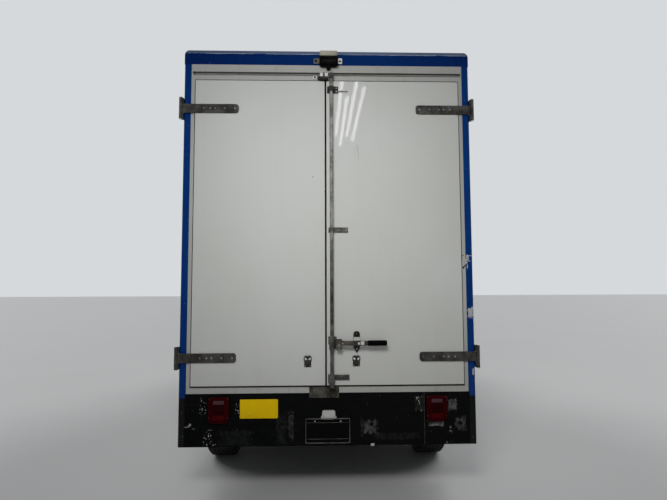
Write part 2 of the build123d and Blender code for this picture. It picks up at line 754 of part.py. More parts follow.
def make_rear_frame():
    """Portal round the barn doors, with a stop lip behind them and a drip rail above."""
    lip_y = REAR_Y + REAR_DOOR_THICKNESS + DOOR_GAP
    half = REAR_DOOR_HALF_WIDTH + DOOR_GAP
    header_z = REAR_DOOR_TOP_Z + DOOR_GAP
    frame = block(
        (-POST_INNER_X, POST_INNER_X),
        (REAR_FRAME_Y, POST_FRONT_Y),
        (SILL_BOTTOM_Z, RAIL_BOTTOM_Z),
    )
    frame -= block((-half, half), (REAR_FRAME_Y, lip_y), (SILL_TOP_Z, header_z))
    frame -= block(
        (-half + LIP_WIDTH, half - LIP_WIDTH),
        (lip_y, POST_FRONT_Y),
        (SILL_TOP_Z, header_z - LIP_WIDTH),
    )
    save("rear_frame", frame + drip_rail())


def make_hinge_brackets():
    """Fixed halves of the four strap hinges, each with its pin, on the rear posts' sides."""
    brackets = []
    for height in HINGE_HEIGHTS:
        half = STRAP_HEIGHT / 2
        low = height - half - BRACKET_RISE
        high = height + half + BRACKET_RISE
        plate = block(
            (HALF_BOX, HALF_BOX + BRACKET_THICKNESS),
            (REAR_FRAME_Y + POST_RADIUS, REAR_FRAME_Y + BRACKET_LENGTH),
            (low, high),
        )
        gap = half + HINGE_BARREL_GAP
        for z_span in ((low, height - gap), (height + gap, high)):
            plate += upright(HINGE_PIN_X, HINGE_PIN_Y, z_span, HINGE_BARREL_RADIUS)
            plate += block(
                (HALF_BOX, HINGE_PIN_X), (HINGE_PIN_Y, REAR_FRAME_Y + POST_RADIUS), z_span
            )
        plate += upright(HINGE_PIN_X, HINGE_PIN_Y, (low, high), HINGE_PIN_RADIUS)
        brackets.extend(both_sides(plate))
    save("hinge_brackets", *brackets)


def make_hinge_straps(name, side):
    """Two long straps across one door, each with its barrel on the hinge pin."""
    straps = []
    for height in HINGE_HEIGHTS:
        low = height - STRAP_HEIGHT / 2
        high = height + STRAP_HEIGHT / 2
        rows = [
            (HINGE_PIN_X - STRAP_LENGTH, low, STRAP_END_RADIUS),
            (HINGE_PIN_X, low, 0),
            (HINGE_PIN_X, high, 0),
            (HINGE_PIN_X - STRAP_LENGTH, high, STRAP_END_RADIUS),
        ]
        strap = end_prism(rows, (REAR_Y - STRAP_THICKNESS, REAR_Y))
        strap += upright(HINGE_PIN_X, HINGE_PIN_Y, (low, high), HINGE_BARREL_RADIUS)
        bore = HINGE_PIN_RADIUS + PIN_CLEARANCE
        strap -= upright(HINGE_PIN_X, HINGE_PIN_Y, (low, high), bore)
        straps.append(on_side(strap, side))
    save(f"hinge_straps_{name}", *straps)


def make_rear_door(name, side):
    """One full-height barn door, a plain slab from its hinged edge to the meeting line."""
    hinged = side * REAR_DOOR_HALF_WIDTH
    meeting = MEETING_X + side * DOOR_GAP / 2
    slab = block(
        (min(hinged, meeting), max(hinged, meeting)),
        (REAR_Y, REAR_Y + REAR_DOOR_THICKNESS),
        (REAR_DOOR_BOTTOM_Z, REAR_DOOR_TOP_Z),
    )
    save(f"rear_door_{name}", slab)


def make_lock_gear():
    """Upright lock rod with its guides, the handle and its catch, all on the right door."""
    z_span = (REAR_DOOR_BOTTOM_Z - LOCK_ROD_BELOW, REAR_DOOR_TOP_Z + LOCK_ROD_ABOVE)
    gear = upright(LOCK_ROD_X, REAR_Y - LOCK_ROD_SET_OUT, z_span, LOCK_ROD_RADIUS)
    for row in LOCK_PLATES:
        gear += plate_on(REAR_Y, row)
    handle_y = REAR_Y - HARDWARE_PROUD + HANDLE_GRIP_RADIUS
    handle_z = REAR_DOOR_BOTTOM_Z + HANDLE_RISE
    for (start_x, end_x), radius in (
        (HANDLE_BAR_X, HANDLE_BAR_RADIUS),
        (HANDLE_GRIP_X, HANDLE_GRIP_RADIUS),
    ):
        gear += rod((start_x, handle_y, handle_z), (end_x, handle_y, handle_z), radius)
    save("lock_gear", gear, plate_on(REAR_Y, RIGHT_HASP))


def make_door_hasp():
    """Padlock hasp on the left door."""
    save("door_hasp", plate_on(REAR_Y, LEFT_HASP))


def make_lock_keepers():
    """Keepers for the rod on the header and on the sill."""
    jaws = plate_on(REAR_FRAME_Y, KEEPER_JAWS[0])
    for row in KEEPER_JAWS[1:]:
        jaws += plate_on(REAR_FRAME_Y, row)
    stop = plate_on(REAR_FRAME_Y, KEEPER_STOP)
    sill = plate_on(REAR_FRAME_Y, SILL_KEEPER)
    save("lock_keepers", jaws - drip_rail(), stop - drip_rail(), sill)


def make_tail_lamps():
    """Two upright lamps on the apron."""
    save("tail_lamps", *both_sides(plate_on(REAR_FRAME_Y, RIGHT_LAMP)))


def make_sign_plates():
    """Blank number plate with its lamp housing above, and a blank warning plate."""
    rows = (NUMBER_PLATE, PLATE_LAMP, WARNING_SIGN)
    save("sign_plates", *[plate_on(REAR_FRAME_Y, row) for row in rows])


def make_rear_camera():
    """Camera unit on the header: body, cap a little above the roof, lens and side tabs."""
    unit = plate_on(REAR_FRAME_Y, CAMERA_PARTS[0])
    for row in CAMERA_PARTS[1:]:
        unit += plate_on(REAR_FRAME_Y, row)
    save("rear_camera", unit)


# Chassis


def make_frame_rails():
    """Two channel rails, open towards each other, from the apron to the bumper."""
    rear = REAR_FRAME_Y + APRON_THICKNESS
    front = FRONT_Y - BUMPER_WALL
    inner_x = FRAME_OUTER_X - FRAME_FLANGE
    rail = block((inner_x, FRAME_OUTER_X), (rear, front), (FRAME_BOTTOM_Z, FRAME_TOP_Z))
    rail -= block(
        (inner_x, FRAME_OUTER_X - FRAME_WALL),
        (rear + FRAME_WALL, front - FRAME_WALL),
        (FRAME_BOTTOM_Z + FRAME_WALL, FRAME_TOP_Z - FRAME_WALL),
    )
    save("frame_rails", *both_sides(rail))


def make_crossmembers():
    """Evenly spaced bars between the rails, each let into both channels."""
    reach = FRAME_OUTER_X - FRAME_WALL
    top = FRAME_TOP_Z - FRAME_WALL
    first_y = REAR_FRAME_Y + CROSSMEMBER_INSET
    last_y = GEARBOX_REAR_Y - CROSSMEMBER_WIDTH - CROSSMEMBER_WIDTH / 2
    pitch = (last_y - first_y) / (CROSSMEMBER_COUNT - 1)
    bars = []
    for index in range(CROSSMEMBER_COUNT):
        y = first_y + index * pitch
        bars.append(block(
            (-reach, reach), (y, y + CROSSMEMBER_WIDTH), (top - CROSSMEMBER_HEIGHT, top)
        ))
    save("crossmembers", *bars)


def spring_face(axle_y):
    """Leaf pack from the side: two arcs with an upright hanger at each end."""
    seat_z = TYRE_RADIUS + AXLE_TUBE_RADIUS
    rear, front = axle_y - SPRING_REACH, axle_y + SPRING_REACH
    lower = ThreePointArc((rear, SPRING_EYE_Z), (axle_y, seat_z), (front, SPRING_EYE_Z))
    upper = ThreePointArc(
        (front - SPRING_EYE_LENGTH, FRAME_BOTTOM_Z),
        (axle_y, seat_z + SPRING_THICKNESS),
        (rear + SPRING_EYE_LENGTH, FRAME_BOTTOM_Z),
    )
    front_hanger = Polyline(
        (front, SPRING_EYE_Z), (front, FRAME_BOTTOM_Z), (front - SPRING_EYE_LENGTH, FRAME_BOTTOM_Z)
    )
    rear_hanger = Polyline(
        (rear + SPRING_EYE_LENGTH, FRAME_BOTTOM_Z), (rear, FRAME_BOTTOM_Z), (rear, SPRING_EYE_Z)
    )
    lines = (lower, front_hanger, upper, rear_hanger)
    return make_face([edge for line in lines for edge in line.edges()])


def make_leaf_springs():
    """One leaf pack at each end of both axles, under the frame rails."""
    inner_x = FRAME_OUTER_X - FRAME_FLANGE + SPRING_SIDE_GAP
    width = FRAME_FLANGE - 2 * SPRING_SIDE_GAP
    springs = []
    for axle_y in (FRONT_AXLE_Y, REAR_AXLE_Y):
        face = Plane.YZ.offset(inner_x) * spring_face(axle_y)
        springs.extend(both_sides(extrude(face, amount=width)))
    save("leaf_springs", *springs)


def make_front_axle():
    """Beam axle with spring seats and an eye for the kingpin at each end."""
    low = TYRE_RADIUS - AXLE_BEAM_HALF_HEIGHT
    beam = block(
        (-KINGPIN_X, KINGPIN_X),
        (FRONT_AXLE_Y - AXLE_BEAM_HALF_WIDTH, FRONT_AXLE_Y + AXLE_BEAM_HALF_WIDTH),
        (low, TYRE_RADIUS + AXLE_BEAM_HALF_HEIGHT),
    )
    seat_x = FRAME_OUTER_X + SPRING_SEAT_MARGIN
    beam += block(
        (-seat_x, seat_x),
        (FRONT_AXLE_Y - SPRING_SEAT_HALF_LENGTH, FRONT_AXLE_Y + SPRING_SEAT_HALF_LENGTH),
        (low, TYRE_RADIUS + AXLE_TUBE_RADIUS),
    )
    eye_span = (TYRE_RADIUS - AXLE_EYE_HALF_HEIGHT, TYRE_RADIUS + AXLE_EYE_HALF_HEIGHT)
    for _, side in SIDES:
        beam += upright(side * KINGPIN_X, FRONT_AXLE_Y, eye_span, AXLE_EYE_RADIUS)
        bore = KINGPIN_RADIUS + PIN_CLEARANCE
        beam -= upright(side * KINGPIN_X, FRONT_AXLE_Y, eye_span, bore)
    save("front_axle", beam)


def make_rear_axle():
    """Rear axle with its differential, spindles and backing plates, and the propeller shaft."""
    plate_x = REAR_WHEEL_X - BACKPLATE_INSET
    spindle_x = REAR_WHEEL_X + SPINDLE_REACH
    axle = wheel_disc(REAR_AXLE_Y, AXLE_TUBE_RADIUS, (-plate_x, plate_x))
    axle += wheel_disc(REAR_AXLE_Y, SPINDLE_RADIUS, (-spindle_x, spindle_x))
    axle += Pos(0, REAR_AXLE_Y, TYRE_RADIUS) * Sphere(DIFFERENTIAL_RADIUS)
    pinion_end = (0, REAR_AXLE_Y + PINION_LENGTH, TYRE_RADIUS)
    axle += rod((0, REAR_AXLE_Y, TYRE_RADIUS), pinion_end, PINION_RADIUS)
    for _, side in SIDES:
        span = side_span(side, plate_x, plate_x + BACKPLATE_THICKNESS)
        axle += wheel_disc(REAR_AXLE_Y, BACKPLATE_RADIUS, span)
    shaft_z = ENGINE_BOTTOM_Z + SHAFT_FRONT_RISE
    shaft_end = (0, GEARBOX_REAR_Y + SHAFT_RADIUS, shaft_z)
    shaft_start = (0, REAR_AXLE_Y + PINION_LENGTH - PINION_RADIUS, TYRE_RADIUS)
    axle += rod(shaft_start, shaft_end, SHAFT_RADIUS)
    axle -= gearbox()
    save("rear_axle", axle)


def gearbox():
    """Gearbox as a plain block behind the engine."""
    return block(
        (-GEARBOX_HALF_WIDTH, GEARBOX_HALF_WIDTH),
        (GEARBOX_REAR_Y, ENGINE_REAR_Y),
        (ENGINE_BOTTOM_Z, ENGINE_BOTTOM_Z + GEARBOX_HEIGHT),
    )


def make_engine_block():
    """Engine and gearbox as one plain block, with a bearer down onto both frame rails."""
    engine = block(
        (-ENGINE_HALF_WIDTH, ENGINE_HALF_WIDTH),
        (ENGINE_REAR_Y, ENGINE_REAR_Y + ENGINE_LENGTH),
        (ENGINE_BOTTOM_Z, ENGINE_BOTTOM_Z + ENGINE_HEIGHT),
    )
    bearer_y = ENGINE_REAR_Y + ENGINE_BEARER_Y
    engine += block(
        (-FRAME_OUTER_X, FRAME_OUTER_X),
        (bearer_y, bearer_y + ENGINE_BEARER_WIDTH),
        (FRAME_TOP_Z, FRAME_TOP_Z + ENGINE_BEARER_HEIGHT),
    )
    save("engine_block", engine + gearbox())


def make_radiator():
    """Radiator core behind the grille, on the frame."""
    rear = NOSE_Y - RADIATOR_SET_BACK
    save("radiator", block(
        (-FRAME_OUTER_X, FRAME_OUTER_X),
        (rear, rear + RADIATOR_DEPTH),
        (FRAME_TOP_Z, FRAME_TOP_Z + RADIATOR_HEIGHT),
    ))


def make_fuel_tank():
    """Fuel tank hung outside the left frame rail."""
    rear = REAR_AXLE_Y + TANK_AHEAD_OF_AXLE
    top = FRAME_TOP_Z - TANK_DROP
    tank = block(
        (-FRAME_OUTER_X - TANK_WIDTH, -FRAME_OUTER_X),
        (rear, rear + TANK_LENGTH),
        (top - TANK_HEIGHT, top),
    )
    save("fuel_tank", fillet(tank.edges().filter_by(Axis.Y), TANK_CORNER))


def exhaust_route():
    """Corner points of the exhaust, from the engine to the tail under the right skirt."""
    low = FRAME_BOTTOM_Z - EXHAUST_DROP
    first, second, third = (ENGINE_REAR_Y - distance for distance in EXHAUST_BENDS_Y)
    tail_near, tail_mid, tail_far = (REAR_AXLE_Y + distance for distance in EXHAUST_TAIL_Y)
    return (
        (EXHAUST_INNER_X, ENGINE_REAR_Y, FRAME_BOTTOM_Z),
        (EXHAUST_INNER_X, first, FRAME_BOTTOM_Z),
        (EXHAUST_INNER_X, second, low),
        (EXHAUST_OUTER_X, third, low),
        (EXHAUST_OUTER_X, tail_near, low),
        (EXHAUST_TAIL_X[0], tail_mid, FRAME_BOTTOM_Z - EXHAUST_TAIL_DROP[0]),
        (EXHAUST_TAIL_X[1], tail_far, FRAME_BOTTOM_Z - EXHAUST_TAIL_DROP[1]),
    )


def make_exhaust_pipe():
    """Exhaust from the engine through a silencer to the right side, on two hangers."""
    route = exhaust_route()
    pipe = rod(route[0], route[1], EXHAUST_RADIUS)
    for start, end in zip(route[1:], route[2:]):
        pipe += rod(start, end, EXHAUST_RADIUS) + Pos(*start) * Sphere(EXHAUST_RADIUS)
    silencer_y = route[4][1] + SILENCER_AHEAD
    silencer_z = route[4][2] + SILENCER_LIFT
    pipe += rod(
        (EXHAUST_OUTER_X, silencer_y, silencer_z),
        (EXHAUST_OUTER_X, silencer_y + SILENCER_LENGTH, silencer_z),
        SILENCER_RADIUS,
    )
    for y in (route[4][1] + REAR_HANGER_AHEAD, route[3][1] - FRONT_HANGER_BEHIND):
        pipe += block(
            (FRAME_OUTER_X, EXHAUST_OUTER_X + HANGER_REACH),
            (y, y + HANGER_THICKNESS),
            (FRAME_BOTTOM_Z - HANGER_DROP, FRAME_BOTTOM_Z + HANGER_LAP),
        )
    save("exhaust_pipe", pipe)


# Wheels and steering


def make_wheel(node, side, x, y):
    """Pressed steel wheel with its hub, bored for the spindle."""
    inner = RIM_RADIUS - RIM_WALL
    flange = RIM_RADIUS + RIM_FLANGE_HEIGHT
    seat = RIM_HALF_WIDTH - RIM_FLANGE_WIDTH
    rim = turned([
        (-RIM_HALF_WIDTH, inner),
        (RIM_HALF_WIDTH, inner),
        (RIM_HALF_WIDTH, flange),
        (seat, flange),
        (seat, RIM_RADIUS),
        (-seat, RIM_RADIUS),
        (-seat, flange),
        (-RIM_HALF_WIDTH, flange),
    ], x, y, side)
    disc = turned([
        (DISC_EDGE_X, inner + DISC_EDGE_LAP),
        (DISC_EDGE_X + DISC_THICKNESS, inner + DISC_EDGE_LAP),
        (DISC_EDGE_X + DISC_THICKNESS, inner - DISC_EDGE_DROP),
        (DISC_VALLEY_X + DISC_THICKNESS, DISC_VALLEY_RADIUS),
        (DISC_HUB_X + DISC_THICKNESS, HUB_RADIUS - DISC_EDGE_LAP),
        (DISC_HUB_X, HUB_RADIUS - DISC_EDGE_LAP),
        (DISC_VALLEY_X, DISC_VALLEY_RADIUS),
        (DISC_EDGE_X, inner - DISC_EDGE_DROP),
    ], x, y, side)
    bore = SPINDLE_RADIUS + PIN_CLEARANCE
    bore_end = SPINDLE_REACH + SPINDLE_END_GAP
    hub = turned([
        (-HUB_INNER_X, bore),
        (-HUB_INNER_X, HUB_RADIUS),
        (HUB_OUTER_X - HUB_CHAMFER, HUB_RADIUS),
        (HUB_OUTER_X, HUB_RADIUS - HUB_CHAMFER_DROP),
        (HUB_OUTER_X, 0.0),
        (bore_end, 0.0),
        (bore_end, bore),
    ], x, y, side)
    wheel = rim + disc + hub
    for index in range(HAND_HOLES):
        angle = 2 * math.pi * index / HAND_HOLES
        hole_y = y + HAND_HOLE_RING * math.cos(angle)
        hole_z = TYRE_RADIUS + HAND_HOLE_RING * math.sin(angle)
        low, high = side_span(side, x, x + TYRE_HALF_WIDTH)
        wheel -= rod((low, hole_y, hole_z), (high, hole_y, hole_z), HAND_HOLE_RADIUS)
    save(node, wheel)


def make_tyre(node, side, x, y):
    """Road tyre, its tread left plain."""
    seat = RIM_HALF_WIDTH - RIM_FLANGE_WIDTH - BEAD_GAP
    rows = [
        (seat, (RIM_RADIUS + PIN_CLEARANCE) / math.cos(math.pi / TYRE_SIDES)),
        (seat, RIM_RADIUS + BEAD_HEIGHT),
        (TYRE_HALF_WIDTH, TYRE_RADIUS - SIDEWALL_DROP),
        (TYRE_HALF_WIDTH - SIDEWALL_INSET, TYRE_RADIUS - SHOULDER_DROP),
        (TYRE_HALF_WIDTH - TREAD_EDGE_INSET, TYRE_RADIUS - TREAD_EDGE_DROP),
        (TYRE_HALF_WIDTH - TREAD_INSET, TYRE_RADIUS),
    ]
    rows += [(-across, radius) for across, radius in reversed(rows)]
    save(node, faceted(rows, x, y, side, TYRE_SIDES))


def make_knuckle(name, side):
    """Steering knuckle: yoke round the axle eye, kingpin, backing plate and spindle."""
    reach = AXLE_EYE_HALF_HEIGHT + YOKE_GAP + YOKE_LUG_HEIGHT
    low, high = TYRE_RADIUS - reach, TYRE_RADIUS + reach
    plate_x = FRONT_WHEEL_X - BACKPLATE_INSET
    knuckle = block(
        (KINGPIN_X + AXLE_EYE_RADIUS + YOKE_GAP, plate_x),
        (FRONT_AXLE_Y - YOKE_HALF_LENGTH, FRONT_AXLE_Y + YOKE_HALF_LENGTH),
        (low, high),
    )
    for z_span in ((low, low + YOKE_LUG_HEIGHT), (high - YOKE_LUG_HEIGHT, high)):
        knuckle += block(
            (KINGPIN_X, plate_x),
            (FRONT_AXLE_Y - YOKE_LUG_RADIUS, FRONT_AXLE_Y + YOKE_LUG_RADIUS),
            z_span,
        )
        knuckle += upright(KINGPIN_X, FRONT_AXLE_Y, z_span, YOKE_LUG_RADIUS)
    knuckle += upright(KINGPIN_X, FRONT_AXLE_Y, (low, high), KINGPIN_RADIUS)
    plate_span = (plate_x, plate_x + BACKPLATE_THICKNESS)
    knuckle += wheel_disc(FRONT_AXLE_Y, BACKPLATE_RADIUS, plate_span)
    spindle_span = (plate_x, FRONT_WHEEL_X + SPINDLE_REACH)
    knuckle += wheel_disc(FRONT_AXLE_Y, SPINDLE_RADIUS, spindle_span)
    save(f"steering_knuckle_{name}", on_side(knuckle, side))


def column_place():
    """Steering column's place: its own +Z points out of the wheel to the driver."""
    centre = (
        STEERING_WHEEL_X,
        COWL_Y - STEERING_WHEEL_BEHIND_COWL,
        CAB_FLOOR_Z + STEERING_WHEEL_RISE,
    )
    return Pos(*centre) * Rot(90 - STEERING_COLUMN_TILT, 0, 0)


def make_steering_wheel():
    """Steering wheel with three spokes and the shaft that enters the column."""
    wheel = Torus(STEERING_WHEEL_RADIUS, STEERING_RIM_RADIUS)
    boss = Cylinder(STEERING_BOSS_RADIUS, STEERING_BOSS_HEIGHT)
    wheel += Pos(0, 0, -STEERING_BOSS_HEIGHT / 2) * boss
    for angle in SPOKE_ANGLES:
        spoke = Box(STEERING_WHEEL_RADIUS, SPOKE_WIDTH, SPOKE_THICKNESS)
        wheel += Rot(0, 0, angle) * Pos(STEERING_WHEEL_RADIUS / 2, 0, -SPOKE_DROP) * spoke
    shaft = Cylinder(COLUMN_SHAFT_RADIUS, COLUMN_SHAFT_LENGTH)
    wheel += Pos(0, 0, -COLUMN_SHAFT_LENGTH / 2) * shaft
    save("steering_wheel", column_place() * wheel)


# Cab


def cab_form(inset):
    """Cab and nose as one closed form: side, end and plan outlines drawn through each other.

    The outlines stand a little past each other, so that their flats cross at a real angle.
    """
    valance_y = FRONT_AXLE_Y + FRONT_ARCH_RADIUS - VALANCE_LAP
    valance_z = CAB_BOTTOM_Z + VALANCE_RISE
    side_rows = [
        (CAB_BACK_Y, CAB_BOTTOM_Z, 0),
        (CAB_BACK_Y, CAB_ROOF_Z, ROOF_REAR_RADIUS),
        (WINDSCREEN_TOP_Y, CAB_ROOF_Z, ROOF_FRONT_RADIUS),
        (COWL_Y, CAB_BELT_Z, COWL_RADIUS),
        (NOSE_Y - NOSE_TOP_RAKE, NOSE_TOP_Z, NOSE_TOP_RADIUS),
        (NOSE_Y, NOSE_TOP_Z - NOSE_FACE_DROP, NOSE_FACE_RADIUS),
        (NOSE_Y, valance_z, VALANCE_RADIUS),
        (valance_y, valance_z, 0),
        (valance_y, CAB_BOTTOM_Z, 0),
    ]
    end_rows = mirror_rows([
        (CAB_HALF_WIDTH - SIDE_TUCK, CAB_BOTTOM_Z - FORM_LAP, 0),
        (CAB_HALF_WIDTH, CAB_BOTTOM_Z + SIDE_KNEE_RISE, SIDE_RADIUS),
        (CAB_HALF_WIDTH, CAB_BELT_Z - SIDE_SHOULDER_DROP, SIDE_RADIUS),
        (CAB_ROOF_HALF_WIDTH, CAB_ROOF_Z + FORM_LAP, ROOF_SIDE_RADIUS),
    ])
    plan_rows = mirror_rows([
        (CAB_HALF_WIDTH + FORM_LAP, CAB_BACK_Y - FORM_LAP, 0),
        (CAB_HALF_WIDTH + FORM_LAP, NOSE_Y - NOSE_CORNER_Y, NOSE_CORNER_RADIUS),
        (CAB_HALF_WIDTH - NOSE_CORNER_TUCK, NOSE_Y + FORM_LAP, NOSE_EDGE_RADIUS),
    ])
    reach = CAB_HALF_WIDTH + CUT_MARGIN
    form = side_prism(side_rows, (-reach, reach), inset)
    form &= end_prism(end_rows, (CAB_BACK_Y - CUT_MARGIN, FRONT_Y), inset)
    form &= plan_prism(plan_rows, (CAB_BOTTOM_Z - CUT_MARGIN, CAB_ROOF_Z + CUT_MARGIN), inset)
    return form


def pillar_line(distance, y):
    """Height of a line parallel to the windscreen, at a distance behind it."""
    slope = math.hypot(WINDSCREEN_RUN, CAB_GLASS_RISE)
    start_y = WINDSCREEN_TOP_Y - distance * CAB_GLASS_RISE / slope
    start_z = CAB_ROOF_Z - distance * WINDSCREEN_RUN / slope
    return start_z - (y - start_y) * CAB_GLASS_RISE / WINDSCREEN_RUN


def pillar_y(distance, z):
    """Where that line is at a height."""
    return COWL_Y - (z - pillar_line(distance, COWL_Y)) * WINDSCREEN_RUN / CAB_GLASS_RISE


def door_rows(margin):
    """Cab door's outline from the side, brought in by a margin."""
    rear = CAB_DOOR_REAR_Y + margin
    front = CAB_DOOR_FRONT_Y - margin
    bottom = CAB_DOOR_BOTTOM_Z + margin
    top = CAB_DOOR_TOP_Z - margin
    behind = PILLAR_WIDTH + margin
    return [
        (rear, bottom, CAB_DOOR_CORNER),
        (rear, top, CAB_DOOR_CORNER),
        (pillar_y(behind, top), top, CAB_DOOR_CORNER),
        (front, pillar_line(behind, front), CAB_DOOR_CORNER),
        (front, bottom, CAB_DOOR_CORNER),
    ]


def window_rows():
    """Door window's outline from the side."""
    rear = CAB_DOOR_REAR_Y + WINDOW_MARGIN
    front = CAB_DOOR_FRONT_Y - WINDOW_MARGIN
    top = CAB_DOOR_TOP_Z - WINDOW_MARGIN
    sill = CAB_BELT_Z + WINDOW_SILL_RISE
    behind = PILLAR_WIDTH + WINDOW_MARGIN
    return [
        (rear, sill, WINDOW_LOW_CORNER),
        (rear, top, WINDOW_CORNER),
        (pillar_y(behind, top), top, WINDOW_CORNER),
        (front, pillar_line(behind, front), WINDOW_FRONT_CORNER),
        (front, sill, WINDOW_FRONT_CORNER),
    ]


def cab_cavity():
    """Space inside the cab, down to the floor and forward to the toe board and the cowl."""
    shelf_z = CAB_BELT_Z - COWL_SHELF_DROP
    rows = [
        (CAB_BACK_Y + CAB_WALL, CAB_FLOOR_Z, 0),
        (CAB_BACK_Y + CAB_WALL, CAB_ROOF_Z, 0),
        (COWL_Y, CAB_ROOF_Z, 0),
        (COWL_Y, shelf_z, 0),
        (COWL_Y - COWL_SHELF_DEPTH, shelf_z, 0),
        (COWL_Y - TOE_BOARD_HEAD, CAB_FLOOR_Z + TOE_BOARD_RISE, 0),
        (COWL_Y - TOE_BOARD_FOOT, CAB_FLOOR_Z, 0),
    ]
    return side_prism(rows, (-CAB_HALF_WIDTH, CAB_HALF_WIDTH)) & cab_form(CAB_WALL)


def bay_cavity():
    """Engine bay and front wheel wells, open below, one firewall ahead of the cab's space."""
    low = CAB_BOTTOM_Z - BUMPER_BOTTOM_RISE
    foot_y = COWL_Y - TOE_BOARD_FOOT + FIREWALL
    rows = [
        (foot_y, low, 0),
        (foot_y, CAB_FLOOR_Z, 0),
        (COWL_Y - TOE_BOARD_HEAD + FIREWALL, CAB_FLOOR_Z + TOE_BOARD_RISE, 0),
        (COWL_Y - COWL_SHELF_DEPTH / 2, CAB_BELT_Z - COWL_SHELF_DROP * 3 / 2, 0),
        (COWL_Y + BONNET_SET_FORWARD, CAB_BELT_Z, 0),
        (FRONT_Y, CAB_BELT_Z, 0),
        (FRONT_Y, low, 0),
    ]
    inner = cab_form(FENDER_SKIN)
    half = CAB_HALF_WIDTH - BAY_MARGIN
    inner += block(
        (-half, half), (foot_y, NOSE_Y - NOSE_TOP_RAKE), (low, CAB_BOTTOM_Z + BAY_STEP_RISE)
    )
    return side_prism(rows, (-CAB_HALF_WIDTH, CAB_HALF_WIDTH)) & inner


def windscreen_prism():
    """Windscreen opening, drawn along the truck through the raked front of the cab."""
    rows = mirror_rows([
        (CAB_HALF_WIDTH - SCREEN_LOW_MARGIN, CAB_BELT_Z + SCREEN_LOW_RISE, SCREEN_CORNER),
        (CAB_ROOF_HALF_WIDTH - SCREEN_HIGH_MARGIN, CAB_ROOF_Z - SCREEN_HIGH_DROP, SCREEN_CORNER),
    ])
    return end_prism(rows, (WINDSCREEN_TOP_Y - SCREEN_REACH, COWL_Y + SCREEN_REACH))


def cab_skin(form):
    """Whole skin of cab and nose, with its cavities, frame tunnel and front wheel arches."""
    skin = form - cab_cavity() - bay_cavity()
    tunnel = CAB_HALF_WIDTH - FRAME_TUNNEL_MARGIN
    skin -= block((-tunnel, tunnel), (CAB_BACK_Y, FENDER_REAR_Y), (CAB_BOTTOM_Z, FRAME_TOP_Z))
    reach = CAB_HALF_WIDTH + CUT_MARGIN
    return skin - wheel_disc(FRONT_AXLE_Y, FRONT_ARCH_RADIUS, (-reach, reach))


def make_cab_doors(form, skin, glass):
    """Cab doors with their window glass; returns the skin with their openings cut."""
    far = CAB_HALF_WIDTH + CUT_MARGIN
    door_wall = form - cab_form(CAB_WALL)
    clearance = cab_form(-1.0) - cab_form(CAB_WALL + CAB_DOOR_GAP)
    for name, side in SIDES:
        span = side_span(side, CAB_DOOR_REACH, far)
        window = side_prism(window_rows(), span)
        door = door_wall & side_prism(door_rows(0.0), span)
        save(f"cab_door_{name}", door - window)
        save(f"door_glass_{name}", glass & window)
        skin -= clearance & side_prism(door_rows(-CAB_DOOR_GAP), span)
    return skin


def make_bonnet(nose):
    """Bonnet between the fenders; returns the nose with its place and gaps cut."""
    start_y = COWL_Y + BONNET_SET_FORWARD
    half = BONNET_HALF_WIDTH
    save("bonnet", nose & block(
        (-half, half), (start_y + BONNET_GAP, FRONT_Y), (BONNET_NOSE_Z, CAB_BELT_Z)
    ))
    half += BONNET_GAP
    return nose - block(
        (-half, half), (start_y, FRONT_Y), (BONNET_NOSE_Z - BONNET_GAP, CAB_BELT_Z + CUT_MARGIN)
    )


def make_grille(nose):
    """Grille frame with its level bars; returns the nose with its place cut."""
    rear = NOSE_Y - GRILLE_DEPTH
    half = GRILLE_HALF_WIDTH
    zone = block((-half, half), (rear, FRONT_Y), (CAB_BOTTOM_Z, CAB_BELT_Z))
    grille = nose & zone
    base = FRAME_TOP_Z + BONNET_GAP
    grille -= block((-half, half), (rear, FRONT_Y), (CAB_BOTTOM_Z, base))
    inner = GRILLE_HALF_WIDTH - GRILLE_BORDER
    low = base + GRILLE_SILL
    high = BONNET_NOSE_Z - GRILLE_BORDER
    grille -= block((-inner, inner), (rear, FRONT_Y), (low, high))
    pitch = (high - low) / (GRILLE_BARS + 1)
    face_y = NOSE_Y - GRILLE_BAR_SET_IN
    for index in range(GRILLE_BARS):
        z = low + pitch * (index + 1)
        grille += block(
            (-inner, inner),
            (face_y - GRILLE_BAR_DEPTH, face_y),
            (z - GRILLE_BAR_HEIGHT / 2, z + GRILLE_BAR_HEIGHT / 2),
        )
    save("grille", grille)
    return nose - zone


def make_headlamps(form, nose):
    """Headlamps that follow the nose's corners; returns the nose with their places cut."""
    shell = form - cab_form(LAMP_DEPTH)
    top = BONNET_NOSE_Z - LAMP_DROP
    lamps = []
    for _, side in SIDES:
        zone = block(
            side_span(side, GRILLE_HALF_WIDTH + LAMP_GAP, CAB_HALF_WIDTH - LAMP_OUTER_MARGIN),
            (NOSE_Y - LAMP_REACH, FRONT_Y),
            (top - LAMP_HEIGHT, top),
        )
        lamps.append(shell & zone)
        nose -= zone
    save("headlamps", *lamps)
    return nose


